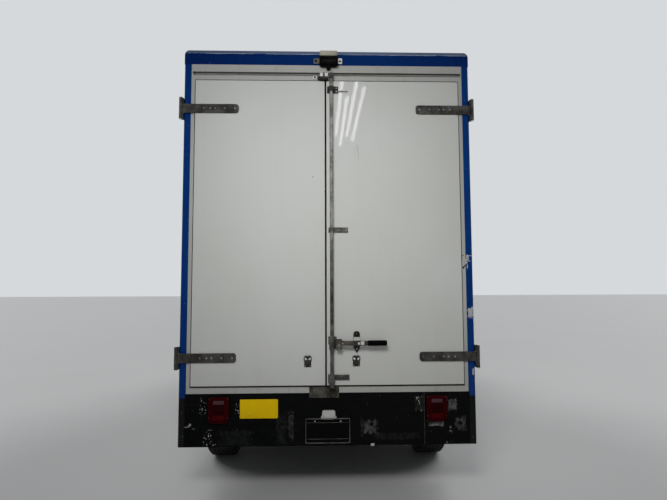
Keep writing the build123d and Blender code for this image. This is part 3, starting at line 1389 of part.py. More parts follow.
def make_cab():
    """Cab shell, doors, glass, fenders, bonnet, grille and lamps, all cut from one skin."""
    form = cab_form(0.0)
    glass = cab_form(GLASS_SET_IN) - cab_form(GLASS_SET_IN + GLASS_THICKNESS)
    save("windscreen", glass & windscreen_prism())
    skin = make_cab_doors(form, cab_skin(form) - windscreen_prism(), glass)

    far = CAB_HALF_WIDTH + CUT_MARGIN
    nose_zone = block(
        (-far, far),
        (FENDER_REAR_Y, FRONT_Y),
        (CAB_BOTTOM_Z - CUT_MARGIN, CAB_BELT_Z + FENDER_ABOVE_BELT),
    )
    nose_zone -= block(
        (-BONNET_HALF_WIDTH, BONNET_HALF_WIDTH),
        (FENDER_REAR_Y, COWL_Y + BONNET_SET_FORWARD),
        (CAB_BOTTOM_Z, CAB_ROOF_Z),
    )
    save("cab_shell", skin - nose_zone)
    nose = make_grille(make_bonnet(skin & nose_zone))
    save("front_fenders", make_headlamps(form, nose))


def bumper_rows(rear_y):
    """Front bumper's outline from above, as far back as is asked for."""
    side_x = CAB_HALF_WIDTH - BUMPER_SIDE_TUCK
    return mirror_rows([
        (side_x, rear_y, 0),
        (side_x, FRONT_Y - BUMPER_CORNER_Y, BUMPER_RADIUS),
        (CAB_HALF_WIDTH - BUMPER_FRONT_TUCK, FRONT_Y, BUMPER_RADIUS),
    ])


def make_front_bumper():
    """Wrap-round front bumper on the frame's ends."""
    bumper = plan_prism(bumper_rows(BUMPER_REAR_Y), BUMPER_Z_SPAN)
    bumper -= plan_prism(bumper_rows(BUMPER_REAR_Y - 2 * BUMPER_WALL), BUMPER_Z_SPAN, BUMPER_WALL)
    save("front_bumper", bumper - cab_form(-BONNET_GAP))


def make_dashboard():
    """Dashboard across the cab, with the steering column's tube."""
    rows = placed(DASH_OUTLINE, COWL_Y, CAB_BELT_Z)
    dash = side_prism(rows, (-DASH_HALF_WIDTH, DASH_HALF_WIDTH)) & cab_cavity()
    tube_z = -COLUMN_TUBE_TOP - COLUMN_TUBE_LENGTH / 2
    tube = Pos(0, 0, tube_z) * Cylinder(COLUMN_TUBE_RADIUS, COLUMN_TUBE_LENGTH)
    bore = Cylinder(COLUMN_SHAFT_RADIUS + PIN_CLEARANCE, COLUMN_BORE_LENGTH)
    tube -= Pos(0, 0, -COLUMN_TUBE_TOP - COLUMN_BORE_LENGTH / 2) * bore
    save("dashboard", dash + column_place() * tube)


def make_seats():
    """Two seats, each a pedestal, a cushion and a raked backrest."""
    rows = placed(SEAT_OUTLINE, COWL_Y - SEAT_BEHIND_COWL, CAB_FLOOR_Z)
    seat = side_prism(rows, (SEAT_X - SEAT_HALF_WIDTH, SEAT_X + SEAT_HALF_WIDTH))
    save("seats", *both_sides(seat))


def make_mirror(name, side):
    """Door mirror on its two arms."""
    outer = OVERALL_WIDTH / 2
    front = CAB_DOOR_FRONT_Y - MIRROR_BEHIND_DOOR
    head = block(
        (outer - MIRROR_WIDTH, outer),
        (front - MIRROR_DEPTH, front),
        (CAB_BELT_Z, CAB_BELT_Z + MIRROR_HEIGHT),
    )
    head = fillet(head.edges().filter_by(Axis.Y), MIRROR_CORNER)
    arm_y = front - MIRROR_DEPTH / 2
    for rise in MIRROR_ARM_RISES:
        z = CAB_BELT_Z + rise
        head += rod(
            (CAB_HALF_WIDTH - MIRROR_ARM_LAP, arm_y, z - MIRROR_ARM_DROP),
            (outer - MIRROR_WIDTH + MIRROR_ARM_REACH, arm_y, z),
            MIRROR_ARM_RADIUS,
        )
    save(f"mirror_{name}", on_side(head - cab_form(0.0), side))


def main():
    """Write every node of the truck."""
    os.makedirs("parts", exist_ok=True)
    make_corner_posts()
    make_edge_rails()
    make_box_walls()
    make_box_roof()
    make_box_floor()
    make_side_skirts()
    make_rear_apron()
    make_rear_frame()
    make_hinge_brackets()
    make_lock_gear()
    make_door_hasp()
    make_lock_keepers()
    make_tail_lamps()
    make_sign_plates()
    make_rear_camera()
    make_frame_rails()
    make_crossmembers()
    make_leaf_springs()
    make_front_axle()
    make_rear_axle()
    make_engine_block()
    make_radiator()
    make_fuel_tank()
    make_exhaust_pipe()
    make_steering_wheel()
    make_cab()
    make_front_bumper()
    make_dashboard()
    make_seats()
    for name, side in SIDES:
        make_hinge_straps(name, side)
        make_rear_door(name, side)
        make_knuckle(name, side)
        make_mirror(name, side)
        for end, x, y in (
            ("front", FRONT_WHEEL_X, FRONT_AXLE_Y),
            ("rear", REAR_WHEEL_X, REAR_AXLE_Y),
        ):
            make_wheel(f"{end}_wheel_{name}", side, x, y)
            make_tyre(f"{end}_tyre_{name}", side, x, y)


main()
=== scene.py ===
"""Looks of the box truck: its finishes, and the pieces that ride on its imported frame.

+Z is up, +Y towards the front of the truck and +X to its right. Shapes are given in millimetres, as the
part's own sizes are, and turned to Blender's metres in Form. Patterns in materials are in metres.
"""

import sys
import logging
import math
from collections.abc import Callable, Iterable, Sequence
from dataclasses import dataclass, field
from enum import Enum
from functools import cache, cached_property, reduce
from typing import NamedTuple

import bmesh
import bpy
from mathutils import Matrix, Vector
from mathutils.bvhtree import BVHTree


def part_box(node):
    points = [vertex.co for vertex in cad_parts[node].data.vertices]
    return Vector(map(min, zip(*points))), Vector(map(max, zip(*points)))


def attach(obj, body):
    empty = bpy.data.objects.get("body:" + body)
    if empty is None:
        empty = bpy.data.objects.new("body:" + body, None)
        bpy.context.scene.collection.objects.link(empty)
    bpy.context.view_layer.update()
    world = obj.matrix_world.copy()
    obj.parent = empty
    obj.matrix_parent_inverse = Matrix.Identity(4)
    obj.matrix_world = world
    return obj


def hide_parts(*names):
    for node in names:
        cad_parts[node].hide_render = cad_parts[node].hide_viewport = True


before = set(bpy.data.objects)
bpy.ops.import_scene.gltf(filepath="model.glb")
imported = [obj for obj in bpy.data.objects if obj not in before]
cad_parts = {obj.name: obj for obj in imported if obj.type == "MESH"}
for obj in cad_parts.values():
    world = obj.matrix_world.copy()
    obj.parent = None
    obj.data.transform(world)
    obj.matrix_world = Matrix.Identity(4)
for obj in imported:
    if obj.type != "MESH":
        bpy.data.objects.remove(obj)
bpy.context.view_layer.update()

LOG = logging.getLogger("truck")
MM = 0.001

# A display colour's red, green and blue, 0 to 255
Colour = tuple[int, int, int]
Point = Sequence[float]
Span = tuple[float, float]
# Marks on an upright face across the truck: middle X and Z, half size X and Z, and a strength
Marks = tuple[tuple[float, ...], ...]
Socket = bpy.types.NodeSocket


class Side(Enum):
    """The truck's two sides, by the sign of X."""

    LEFT = -1
    RIGHT = 1

    @property
    def word(self) -> str:
        """The side's name as the frame's bodies have it."""
        return self.name.lower()

    def near(self, span: Span) -> float:
        """The end of this side's span of X that is nearer to the truck's middle."""
        return min(span, key=abs)


class Axis(Enum):
    """The frame's three directions, by their place in a vector."""

    X = 0
    Y = 1
    Z = 2

    @property
    def vector(self) -> Vector:
        """Unit vector along the axis."""
        return Vector([float(index == self.value) for index in range(3)])


X, Y, Z = Axis
RIGHTWARD, AHEAD, UPWARD = (1, 0, 0), (0, 1, 0), (0, 0, 1)
LEFTWARD, REARWARD, DOWNWARD = (-1, 0, 0), (0, -1, 0), (0, 0, -1)


def linear(colour: Colour) -> tuple[float, float, float, float]:
    """Linear red, green, blue and full alpha of a display colour."""
    parts = [part / 255 for part in colour]
    return (*(part / 12.92 if part <= 0.04045 else ((part + 0.055) / 1.055) ** 2.4 for part in parts), 1.0)


# Colours that several finishes share
ROAD_DUST = (104, 98, 88)
PALE_DUST = (205, 203, 196)
DARK_GRIME = (46, 44, 40)
GREY_PRIMER = (120, 122, 122)
RUST_BROWN = (96, 52, 28)
GREASE = (40, 36, 31)
BARE_ALUMINIUM = (176, 180, 184)


def maths(operation: str, turned: bool = False) -> Callable[..., "Value"]:
    """Method of a value that adds a Math node.

    Args:
        operation: The node's operation.
        turned: Whether the value itself comes last.

    Returns:
        The method.
    """

    def method(self: "Value", *others: "Value | float") -> "Value":
        """Result of the node on the value and the others."""
        terms = (*others, self) if turned else (self, *others)
        node = self.shader.node("ShaderNodeMath", {"operation": operation}, dict(enumerate(terms)))
        return Value(self.shader, node.outputs[0])

    return method


class Value:
    """A number that varies over a surface: one socket, with Python's arithmetic."""

    __add__ = __radd__ = maths("ADD")
    __sub__, __rsub__ = maths("SUBTRACT"), maths("SUBTRACT", turned=True)
    __mul__ = __rmul__ = maths("MULTIPLY")
    __truediv__ = maths("DIVIDE")
    __abs__ = maths("ABSOLUTE")
    least, most = maths("MINIMUM"), maths("MAXIMUM")
    sine, fraction = maths("SINE"), maths("FRACT")

    def __init__(self, shader: "Shader", socket: Socket) -> None:
        """Wraps a socket of a shader's tree."""
        self.shader = shader
        self.socket = socket

    def held(self) -> "Value":
        """The number kept within 0 to 1."""
        return self.most(0.0).least(1.0)

    def step(self, start: float, end: float) -> "Value":
        """Smooth rise from 0 at start to 1 at end, where end may be the lower of the two."""
        inputs = {"Value": self, "From Min": start, "From Max": end}
        node = self.shader.node("ShaderNodeMapRange", {"interpolation_type": "SMOOTHSTEP"}, inputs)
        return Value(self.shader, node.outputs[0])


class Shader:
    """One material's nodes, round a Principled shader."""

    def __init__(self, name: str) -> None:
        """Starts a material of that name."""
        self.material = bpy.data.materials.new(name)
        self.material.use_nodes = True
        self.tree = self.material.node_tree
        self.tree.nodes.clear()
        self.surface = self.node("ShaderNodeBsdfPrincipled")
        self.node("ShaderNodeOutputMaterial", inputs={"Surface": self.surface.outputs[0]})

    def give(self, target: Socket, given: object) -> None:
        """Links a socket or a value to a target socket, or sets the target's own number."""
        source = given.socket if isinstance(given, Value) else given
        if isinstance(source, Socket):
            self.tree.links.new(source, target)
        else:
            target.default_value = source

    def node(self, kind: str, settings: dict | None = None, inputs: dict | None = None) -> bpy.types.Node:
        """Adds a node.

        Args:
            kind: The node's type.
            settings: Its own properties, set before its inputs.
            inputs: Values, sockets or numbers by the name or place of its sockets.

        Returns:
            The new node.
        """
        node = self.tree.nodes.new(kind)
        for name, setting in (settings or {}).items():
            setattr(node, name, setting)
        for key, given in (inputs or {}).items():
            self.give(node.inputs[key], given)
        return node

    @cached_property
    def spot(self) -> Socket:
        """The point being shaded, in metres in the truck's frame."""
        return self.node("ShaderNodeTexCoord").outputs["Object"]

    @cached_property
    def axes(self) -> tuple[Value, Value, Value]:
        """The point's X, Y and Z."""
        split = self.node("ShaderNodeSeparateXYZ", inputs={"Vector": self.spot})
        return tuple(Value(self, output) for output in split.outputs)

    def stretched(self, stretch: Point) -> Socket:
        """The point scaled by a number for each axis."""
        if tuple(stretch) == (1, 1, 1):
            return self.spot
        inputs = {0: self.spot, 1: tuple(stretch)}
        return self.node("ShaderNodeVectorMath", {"operation": "MULTIPLY"}, inputs).outputs[0]

    def noise(self, scale: float, detail: float = 3, rough: float = 0.5, stretch: Point = (1, 1, 1)) -> Value:
        """Cloudy noise from 0 to 1.

        Args:
            scale: Clouds to the metre.
            detail: Octaves.
            rough: Share of the finer octaves.
            stretch: Scale of each axis.

        Returns:
            The noise, near 0.5 in the middle.
        """
        inputs = {"Vector": self.stretched(stretch), "Scale": scale, "Detail": detail, "Roughness": rough}
        return Value(self, self.node("ShaderNodeTexNoise", inputs=inputs).outputs[0])

    def cells(self, scale: float, stretch: Point = (1, 1, 1)) -> tuple[Value, Value]:
        """Distance to the nearest cell's centre, and a tone of its own for each cell."""
        made = self.node("ShaderNodeTexVoronoi", inputs={"Vector": self.stretched(stretch), "Scale": scale})
        tone = self.node("ShaderNodeSeparateColor", inputs={0: made.outputs["Color"]})
        return Value(self, made.outputs["Distance"]), Value(self, tone.outputs[0])

    def mix(self, factor: Value | float, first: Colour | Socket, second: Colour | Socket) -> Socket:
        """Colour between two colours."""
        first, second = (linear(side) if isinstance(side, tuple) else side for side in (first, second))
        return self.node("ShaderNodeMix", {"data_type": "RGBA"}, {0: factor, 6: first, 7: second}).outputs[2]

    def patch(self, mark: Point, ragged: Value) -> Value:
        """Mask of one mark, 1 inside and 0 outside, its edge broken by noise about zero."""
        x, z, half_x, half_z = mark[:4]
        across, up = abs(self.axes[0] - x) / half_x, abs(self.axes[2] - z) / half_z
        return (across.most(up) + ragged).step(1.12, 0.86)

    def patches(self, marks: Marks, ragged: Value) -> Value:
        """Mask of all the marks, each at its own strength."""
        return reduce(Value.most, [self.patch(mark, ragged) * mark[4] for mark in marks])

    def lay(self, height: Value | None = None, depth: float = 0.001, **sockets: object) -> None:
        """Joins the finished colours and numbers to the shader.

        Args:
            height: Relief, in shares of the depth.
            depth: Depth of the relief in metres.
            sockets: Values by socket name, with _ for a space.
        """
        if height is not None:
            bump = self.node("ShaderNodeBump", inputs={"Distance": depth, "Height": height})
            sockets["Normal"] = bump.outputs[0]
        for name, given in sockets.items():
            self.give(self.surface.inputs[name.replace("_", " ")], given)


@dataclass(frozen=True)
class Finish:
    """What a surface is made of and how it has worn."""

    name: str
    colour: Colour

    def dress(self, shader: Shader) -> None:
        """Lays the finish on a shader."""
        raise NotImplementedError


@cache
def material_of(finish: Finish) -> bpy.types.Material:
    """The finish's material, made once."""
    shader = Shader(finish.name)
    finish.dress(shader)
    return shader.material


@dataclass(frozen=True)
class Edge:
    """A straight edge along the truck, across it or upright, where paint wears; one axis is open."""

    x: float | None = None
    y: float | None = None
    z: float | None = None
    width: float = 0.012

    def nearness(self, shader: Shader) -> Value:
        """1 on the edge, falling to 0 at its width; X is taken on both sides."""
        x, y, z = shader.axes
        pairs = ((abs(x), self.x), (y, self.y), (z, self.z))
        gaps = [abs(here - there) for here, there in pairs if there is not None]
        return reduce(Value.most, gaps).step(self.width, 0.0)


@dataclass(frozen=True)
class Paint(Finish):
    """Sprayed paint: fading, rain streaks, road film low down, chips and worn edges."""

    faded: Colour
    under: Colour = GREY_PRIMER
    roughness: float = 0.3
    coat: float = 0.0
    waves: float = 0.0
    streaks: float = 0.12
    film: float = 0.35
    film_top: float = 1.1
    chips: float = 0.0
    edges: tuple[Edge, ...] = ()
    shine: float = 0.5

    def tint(self, shader: Shader) -> Socket:
        """Colour of the clean paint."""
        return shader.mix(shader.noise(0.9, 4).step(0.3, 0.75), self.colour, self.faded)

    def marks(self, shader: Shader, colour: Socket) -> tuple[Socket, Value | None]:
        """Colour with this object's own marks on it, and their mask."""
        return colour, None

    def dress(self, shader: Shader) -> None:
        """Lays the paint on a shader."""
        mottle = shader.noise(7, 5, 0.6)
        fine = shader.noise(85, 4, 0.7)
        streak = shader.noise(1, 5, 0.6, (26, 26, 0.8)).step(0.5, 0.8) * self.streaks
        film = (shader.axes[2] + mottle * 0.6).step(self.film_top + 0.3, 0.55) * (mottle + 0.45) * self.film
        colour = shader.mix(streak.held(), self.tint(shader), DARK_GRIME)
        colour = shader.mix(film.held(), colour, ROAD_DUST)
        bare = shader.noise(140, 3, 0.6, (1, 1, 0.45)).step(0.74 - 0.12 * self.chips, 0.78)
        for edge in self.edges:
            bare = bare.most((edge.nearness(shader) * 0.5 + mottle + fine * 0.35).step(1.02, 1.1))
        bare = bare * (1.0 if self.chips or self.edges else 0.0)
        colour = shader.mix(bare, colour, self.under)
        colour, mask = self.marks(shader, colour)
        rough = film * 0.35 + streak * 0.3 + bare * 0.3 + mottle * 0.12 + self.roughness
        relief = fine * 0.02 - bare * 0.08
        if self.waves:
            relief = relief + shader.noise(3, 2, 0.5, (3.2, 3.2, 0.9)) * self.waves
            relief = relief + shader.noise(3, 1, 0.4, (1.4, 1.4, 3)) * self.waves * 0.8
        if mask is not None:
            rough = rough + mask * 0.25
            relief = relief - mask * 0.08
        shader.lay(
            relief, 0.002, Base_Color=colour, Roughness=rough.held(), Coat_Weight=self.coat,
            Coat_Roughness=0.03, Specular_IOR_Level=self.shine,
        )


@dataclass(frozen=True)
class PostPaint(Paint):
    """Blue paint down to a line, black below it, with rubbed places on the right post."""

    below: Colour = (15, 16, 18)
    line: float = 0.695
    rub_face: Span = (-2.80, -2.815)
    rubs: Marks = (
        (1.010, 1.668, 0.010, 0.024, 1), (1.026, 1.690, 0.014, 0.003, 1), (1.024, 1.652, 0.012, 0.003, 1),
        (1.010, 1.622, 0.004, 0.030, 1), (1.026, 1.282, 0.022, 0.034, 1), (1.034, 0.862, 0.006, 0.020, 1),
    )

    def tint(self, shader: Shader) -> Socket:
        """Blue above the line and black below."""
        height = shader.axes[2] + shader.noise(60, 3) * 0.006
        return shader.mix(height.step(self.line + 0.001, self.line + 0.005), self.below, super().tint(shader))

    def marks(self, shader: Shader, colour: Socket) -> tuple[Socket, Value | None]:
        """Pale rubs on the right post's rear face."""
        ragged = (shader.noise(48, 5, 0.75) - 0.5) * 3.4
        rubbed = shader.patches(self.rubs, ragged) * shader.axes[1].step(*self.rub_face)
        return shader.mix(rubbed * 0.92, colour, (170, 172, 172)), rubbed


@dataclass(frozen=True)
class DoorPaint(Paint):
    """White paint of the rear doors, with a few hairline scratches."""

    scratches: Marks = (
        (0.2150, 2.494, 0.0018, 0.016, 0.46), (0.2205, 2.464, 0.0018, 0.018, 0.52),
        (0.2250, 2.418, 0.0016, 0.030, 0.42), (0.1960, 2.450, 0.0014, 0.056, 0.16),
        (-0.1097, 2.2668, 0.0040, 0.0040, 0.80),
    )

    def marks(self, shader: Shader, colour: Socket) -> tuple[Socket, Value | None]:
        """Fine dark scratches on the rear faces."""
        scratched = shader.patches(self.scratches, (shader.noise(120, 3) - 0.5) * 0.6)
        return shader.mix(scratched, colour, (96, 96, 92)), scratched


@dataclass(frozen=True)
class ApronPaint(Paint):
    """Scuffed black paint with primer patches, scraped and flaked spots, scratches and a panel seam."""

    primer: Marks = (
        (-0.262, 0.500, 0.018, 0.090, 0.16), (-0.330, 0.470, 0.034, 0.095, 0.06),
        (0.297, 0.485, 0.044, 0.044, 0.34), (0.236, 0.480, 0.008, 0.060, 0.12),
        (0.878, 0.632, 0.030, 0.038, 0.56), (0.936, 0.500, 0.036, 0.044, 0.30),
        (0.646, 0.643, 0.030, 0.050, 0.12), (0.764, 0.507, 0.050, 0.022, 0.90),
        (0.480, 0.420, 0.160, 0.022, 0.05), (-0.650, 0.420, 0.110, 0.050, 0.05),
    )
    scrapes: Marks = (
        (-0.842, 0.420, 0.030, 0.062, 1), (-0.880, 0.640, 0.026, 0.054, 1), (-0.640, 0.640, 0.014, 0.050, 1),
        (0.868, 0.450, 0.014, 0.034, 1), (0.640, 0.668, 0.020, 0.026, 1), (0.655, 0.600, 0.012, 0.020, 1),
        (-0.800, 0.388, 0.016, 0.020, 1), (0.850, 0.372, 0.030, 0.006, 1),
    )
    flakes: Marks = (
        (-0.990, 0.4968, 0.012, 0.0034, 0.36), (-0.974, 0.5030, 0.007, 0.0060, 0.40),
        (-0.965, 0.5130, 0.007, 0.0070, 0.50), (-0.940, 0.4850, 0.012, 0.0050, 0.10),
    )
    seam: float = 0.679

    def marks(self, shader: Shader, colour: Socket) -> tuple[Socket, Value | None]:
        """Primer patches, then bright scrapes and flakes, then the seam."""
        cloud = shader.noise(38, 4, 0.65) - 0.5
        grit = shader.noise(95, 3, 0.6, (1, 1, 0.6))
        worn = shader.noise(60, 5, 0.75, (1, 1, 0.6)).step(0.42, 0.62)
        dash = (shader.noise(150, 2, 0.6, (1, 1, 0.42)) + cloud * 0.25).step(0.635, 0.675)
        level = shader.noise(1, 5, 0.7, (5, 5, 130)).step(0.58, 0.80) * 0.18
        upright = shader.noise(1, 5, 0.7, (110, 110, 4)).step(0.60, 0.84) * 0.10
        scuffed = level.most(upright) * shader.noise(3, 3).step(0.36, 0.66)
        scuffed = scuffed.most(shader.patches(self.primer, cloud * 2.0) * (worn * 0.8 + 0.25))
        bright = (shader.patches(self.scrapes, cloud) * dash).most(shader.patches(self.flakes, cloud * 0.6))
        seam = abs(shader.axes[0] - self.seam).step(0.003, 0.001) * (grit + 0.2)
        colour = shader.mix(scuffed.held(), colour, (120, 122, 119))
        colour = shader.mix((bright * 0.9).held(), colour, PALE_DUST)
        colour = shader.mix((seam * 0.5).held(), colour, (96, 96, 92))
        return colour, scuffed.most(bright).held()


@dataclass(frozen=True)
class Plated(Finish):
    """Bare or zinc-plated metal: spangle, dull stains, handling marks and rust spots."""

    stain: Colour
    spangle: float = 160
    roughness: float = 0.38
    staining: float = 0.5
    rust: float = 0.1
    metallic: float = 0.9
    grime: float = 0.0
    grime_top: float = 1.5

    def dress(self, shader: Shader) -> None:
        """Lays the metal on a shader."""
        _, tone = shader.cells(self.spangle)
        cloud = shader.noise(14, 5, 0.62)
        fine = shader.noise(210, 3, 0.6)
        dull = cloud.step(0.34, 0.68) * self.staining
        spots = (cloud * 0.6 + fine * 0.4).step(0.66 - 0.16 * self.rust, 0.74 - 0.1 * self.rust)
        rusty = spots * min(1.0, self.rust * 4)
        low = (shader.axes[2] + cloud * 0.3).step(self.grime_top, self.grime_top - 0.7)
        low = low * (cloud + 0.4) * self.grime
        colour = shader.mix(tone * 0.22, self.colour, self.stain)
        colour = shader.mix(dull, colour, self.stain)
        colour = shader.mix(low.held(), colour, GREASE)
        colour = shader.mix(rusty, colour, RUST_BROWN)
        rough = tone * 0.10 + dull * 0.3 + rusty * 0.4 + fine * 0.08 + low * 0.2 + self.roughness
        bare = (1.0 - rusty) * (1.0 - low * 0.5) * self.metallic
        relief = fine * 0.3 + rusty * 0.5
        shader.lay(relief, 0.0006, Base_Color=colour, Roughness=rough.held(), Metallic=bare.held())


@dataclass(frozen=True)
class Plastic(Finish):
    """Moulded plastic with a fine grain, sun-faded and dusty."""

    faded: Colour
    roughness: float = 0.5
    grain: float = 900
    relief: float = 0.12
    dust: float = 0.15
    shine: float = 0.3

    def dress(self, shader: Shader) -> None:
        """Lays the plastic on a shader."""
        gap, _ = shader.cells(self.grain)
        cloud = shader.noise(6, 5, 0.6)
        dusty = (cloud + shader.noise(60, 3) * 0.3).step(0.52, 0.95) * self.dust
        colour = shader.mix(cloud.step(0.3, 0.8) * 0.5, self.colour, self.faded)
        colour = shader.mix(dusty, colour, ROAD_DUST)
        rough = (cloud * 0.12 + dusty * 0.5 + self.roughness).held()
        shader.lay(gap * self.relief, Base_Color=colour, Roughness=rough, Specular_IOR_Level=self.shine)


@dataclass(frozen=True)
class Rubber(Finish):
    """Dull black rubber, greyed by dust and, on a tyre, by the road."""

    dust: float = 0.3
    shine: float = 0.15

    def dress(self, shader: Shader) -> None:
        """Lays the rubber on a shader."""
        fine = shader.noise(160, 4, 0.65)
        dusty = (shader.noise(9, 5, 0.62) * 0.7 + fine * 0.4).step(0.45, 0.8) * self.dust
        rough = (fine * 0.15 + dusty * 0.3 + 0.62).held()
        colour = shader.mix(dusty, self.colour, ROAD_DUST)
        shader.lay(fine * 0.4, 0.0008, Base_Color=colour, Roughness=rough, Specular_IOR_Level=self.shine)


@dataclass(frozen=True)
class Glass(Finish):
    """Clear or tinted glass with a film of dust."""

    dust: float = 0.3

    def dress(self, shader: Shader) -> None:
        """Lays the glass on a shader."""
        film = shader.noise(5, 5, 0.6).step(0.45, 0.8) * self.dust
        colour = shader.mix(film * 0.25, self.colour, PALE_DUST)
        shader.lay(Base_Color=colour, Roughness=film * 0.25 + 0.02, Transmission_Weight=1.0, IOR=1.45)


@dataclass(frozen=True)
class Lens(Finish):
    """Moulded lamp lens: ribs and prisms under a glossy skin."""

    deep: Colour
    pitch: float = 0.006
    shine: float = 0.08

    def dress(self, shader: Shader) -> None:
        """Lays the lens on a shader."""
        x, y, z = shader.axes
        turn = 2 * math.pi / self.pitch
        ribs = ((x + y) * turn).sine() * ((z + y) * turn).sine()
        cloud = shader.noise(30, 4, 0.6)
        light = ((ribs * 0.5 + 0.5) * 0.6 + cloud * 0.4).held()
        shader.lay(
            ribs * 0.5, 0.0008, Base_Color=shader.mix(light, self.deep, self.colour),
            Roughness=(cloud * 0.15 + 0.12).held(), Specular_IOR_Level=self.shine,
        )


@dataclass(frozen=True)
class Cloth(Finish):
    """Woven seat cloth with two threads and a worn nap."""

    thread: Colour
    pitch: float = 0.0032

    def dress(self, shader: Shader) -> None:
        """Lays the cloth on a shader."""
        x, y, z = shader.axes
        turn = 2 * math.pi / self.pitch
        over = (x * turn).sine() * ((y + z) * turn).sine()
        fleck = shader.noise(420, 2)
        worn = shader.noise(7, 4, 0.6)
        colour = shader.mix((over * 0.35 + fleck * 0.7).held(), self.colour, self.thread)
        colour = shader.mix(worn.step(0.5, 0.9) * 0.2, colour, ROAD_DUST)
        rough = (worn * 0.1 + 0.82).held()
        shader.lay(over * 0.5 + fleck * 0.5, 0.0012, Base_Color=colour, Roughness=rough, Sheen_Weight=0.3)


@dataclass(frozen=True)
class Boards(Finish):
    """Worn hardwood boards, all over or only on a floor's top, with painted steel for the rest."""

    steel: Colour = (42, 43, 44)
    top: float | None = 0.765
    width: float = 0.118

    def dress(self, shader: Shader) -> None:
        """Lays the floor's finish on a shader."""
        x, _, z = shader.axes
        joint = abs((x / self.width).fraction() - 0.5).step(0.485, 0.5)
        _, plank = shader.cells(1.0 / self.width, (1, 0.06, 0))
        grain = shader.noise(3, 6, 0.65, (34, 1.6, 34))
        wear = shader.noise(3.5, 5, 0.6)
        wood = shader.mix((grain * 0.8 + plank * 0.3).held(), self.colour, (150, 112, 74))
        wood = shader.mix(wear.step(0.4, 0.8) * 0.55, wood, (96, 86, 74))
        wood = shader.mix(joint * 0.9, wood, (22, 17, 12))
        is_top = 1.0 if self.top is None else abs(z - self.top).step(0.004, 0.001)
        colour = shader.mix(is_top, shader.mix(wear * 0.5, self.steel, ROAD_DUST), wood)
        rough = (grain * 0.2 + wear * 0.2 + 0.42).held()
        shader.lay((grain * 0.3 - joint) * is_top, 0.0015, Base_Color=colour, Roughness=rough)


@dataclass(frozen=True)
class Fins(Finish):
    """Radiator core: fine upright fins between level tubes, with painted shade in the gaps between the fins.
    """

    pitch: float = 0.0022
    tube_pitch: float = 0.011

    def dress(self, shader: Shader) -> None:
        """Lays the core on a shader."""
        x, _, z = shader.axes
        fin = abs((x / self.pitch).fraction() - 0.5) * 2.0
        tube = abs((z / self.tube_pitch).fraction() - 0.5).step(0.32, 0.42)
        dirt = shader.noise(12, 4, 0.6)
        # Near black between the fins: painted shade of the gaps through the core
        tone = (fin * 0.6 + tube).held()
        colour = shader.mix(tone, (18, 18, 18), self.colour)
        colour = shader.mix(dirt.step(0.45, 0.8) * 0.5, colour, ROAD_DUST)
        rough = (dirt * 0.3 + 0.4).held()
        shader.lay(fin * 0.4 + tube, 0.003, Base_Color=colour, Roughness=rough, Metallic=tone * 0.7)


# Finishes of the truck
WHITE, WHITE_FADED = (188, 189, 186), (182, 183, 177)
# The posts and the rails wear one blue paint: the posts' copy is lightened as painted light from the side,
# and the rails' copy is darkened as painted shade
POST_BLUE_LIT = PostPaint(
    "post_blue_lit", (2, 44, 104), (6, 52, 112), BARE_ALUMINIUM, 0.40, streaks=0.05, film=0.05, chips=0.6,
    edges=(Edge(x=1.050, y=-2.822, width=0.008),), shine=0.05,
)
RAIL_BLUE_SHADED = Paint(
    "rail_blue_shaded", (0, 31, 86), (2, 40, 94), BARE_ALUMINIUM, 0.40, streaks=0.05, film=0.05, chips=0.5,
    edges=(Edge(x=1.050, z=3.105, width=0.006), Edge(y=-2.822, z=3.190, width=0.006)), shine=0.05,
)
ROOF_GREY = Paint(
    "roof_sheet", (62, 78, 106), (80, 95, 120), BARE_ALUMINIUM, 0.42, 0.1, streaks=0.25, chips=0.6
)
DOOR_WHITE = DoorPaint(
    "door_white", WHITE, WHITE_FADED, coat=0.5, waves=0.20, streaks=0.025, film=0.14, shine=0.25
)
FRAME_WHITE = Paint(
    "frame_white", (167, 167, 164), (160, 159, 154), roughness=0.36, streaks=0.16, film=0.16, chips=0.3,
    shine=0.2,
)
WALL_WHITE = Paint("wall_white", WHITE, WHITE_FADED, coat=0.3, waves=0.05, film=0.3, film_top=1.2, chips=0.2)
CAB_WHITE = Paint(
    "cab_white", (196, 197, 195), (190, 191, 187), roughness=0.24, coat=0.7, streaks=0.05, film=0.25,
    film_top=0.55, chips=0.4,
)
APRON_BLACK = ApronPaint(
    "apron_black", (8, 9, 10), (13, 13, 13), roughness=0.46, streaks=0.02, film=0.0, chips=0.5, shine=0.03
)
SKIRT_BLACK = Paint(
    "skirt_black", (16, 17, 18), (26, 26, 27), roughness=0.48, streaks=0.06, film=0.16, chips=0.6, shine=0.2
)
CHASSIS_BLACK = Paint(
    "chassis_black", (18, 18, 19), (32, 30, 28), RUST_BROWN, 0.55, streaks=0.1, film=0.30, film_top=0.9,
    chips=0.9, shine=0.2,
)
WHEEL_SILVER = Paint(
    "wheel_silver", (150, 152, 154), (136, 137, 138), RUST_BROWN, 0.38, 0.3, streaks=0.0, film=0.55,
    film_top=0.8, chips=0.5,
)
GALVANISED = Plated("galvanised", (128, 127, 122), (54, 51, 46), 90, staining=0.8, rust=0.12, grime=0.5)
ROD_STEEL = Plated("rod_steel", (174, 173, 168), (84, 82, 77), 160, 0.26, 0.7, 0.05, grime=0.9, grime_top=2.2)
STRAP_STEEL = Plated("strap_steel", (92, 91, 88), (44, 41, 36), 160, 0.40, 0.7, 0.2, grime=0.6)
LEVER_STEEL = Plated("lever_steel", (108, 102, 95), (56, 50, 44), 160, 0.40, 0.8, 0.2, grime=0.3)
PLATE_RIM = Plated("plate_rim", (128, 128, 126), (70, 69, 66), 70, 0.30, 0.9, 0.05)
STRAP_BOLT = Plated("strap_bolt", (176, 173, 166), (70, 66, 58), 160, 0.34, 0.6, 0.15, grime=0.2)
KEEPER_STEEL = Plated("keeper_steel", (112, 107, 98), (44, 39, 33), 60, 0.5, 0.95, 0.45, grime=0.35)
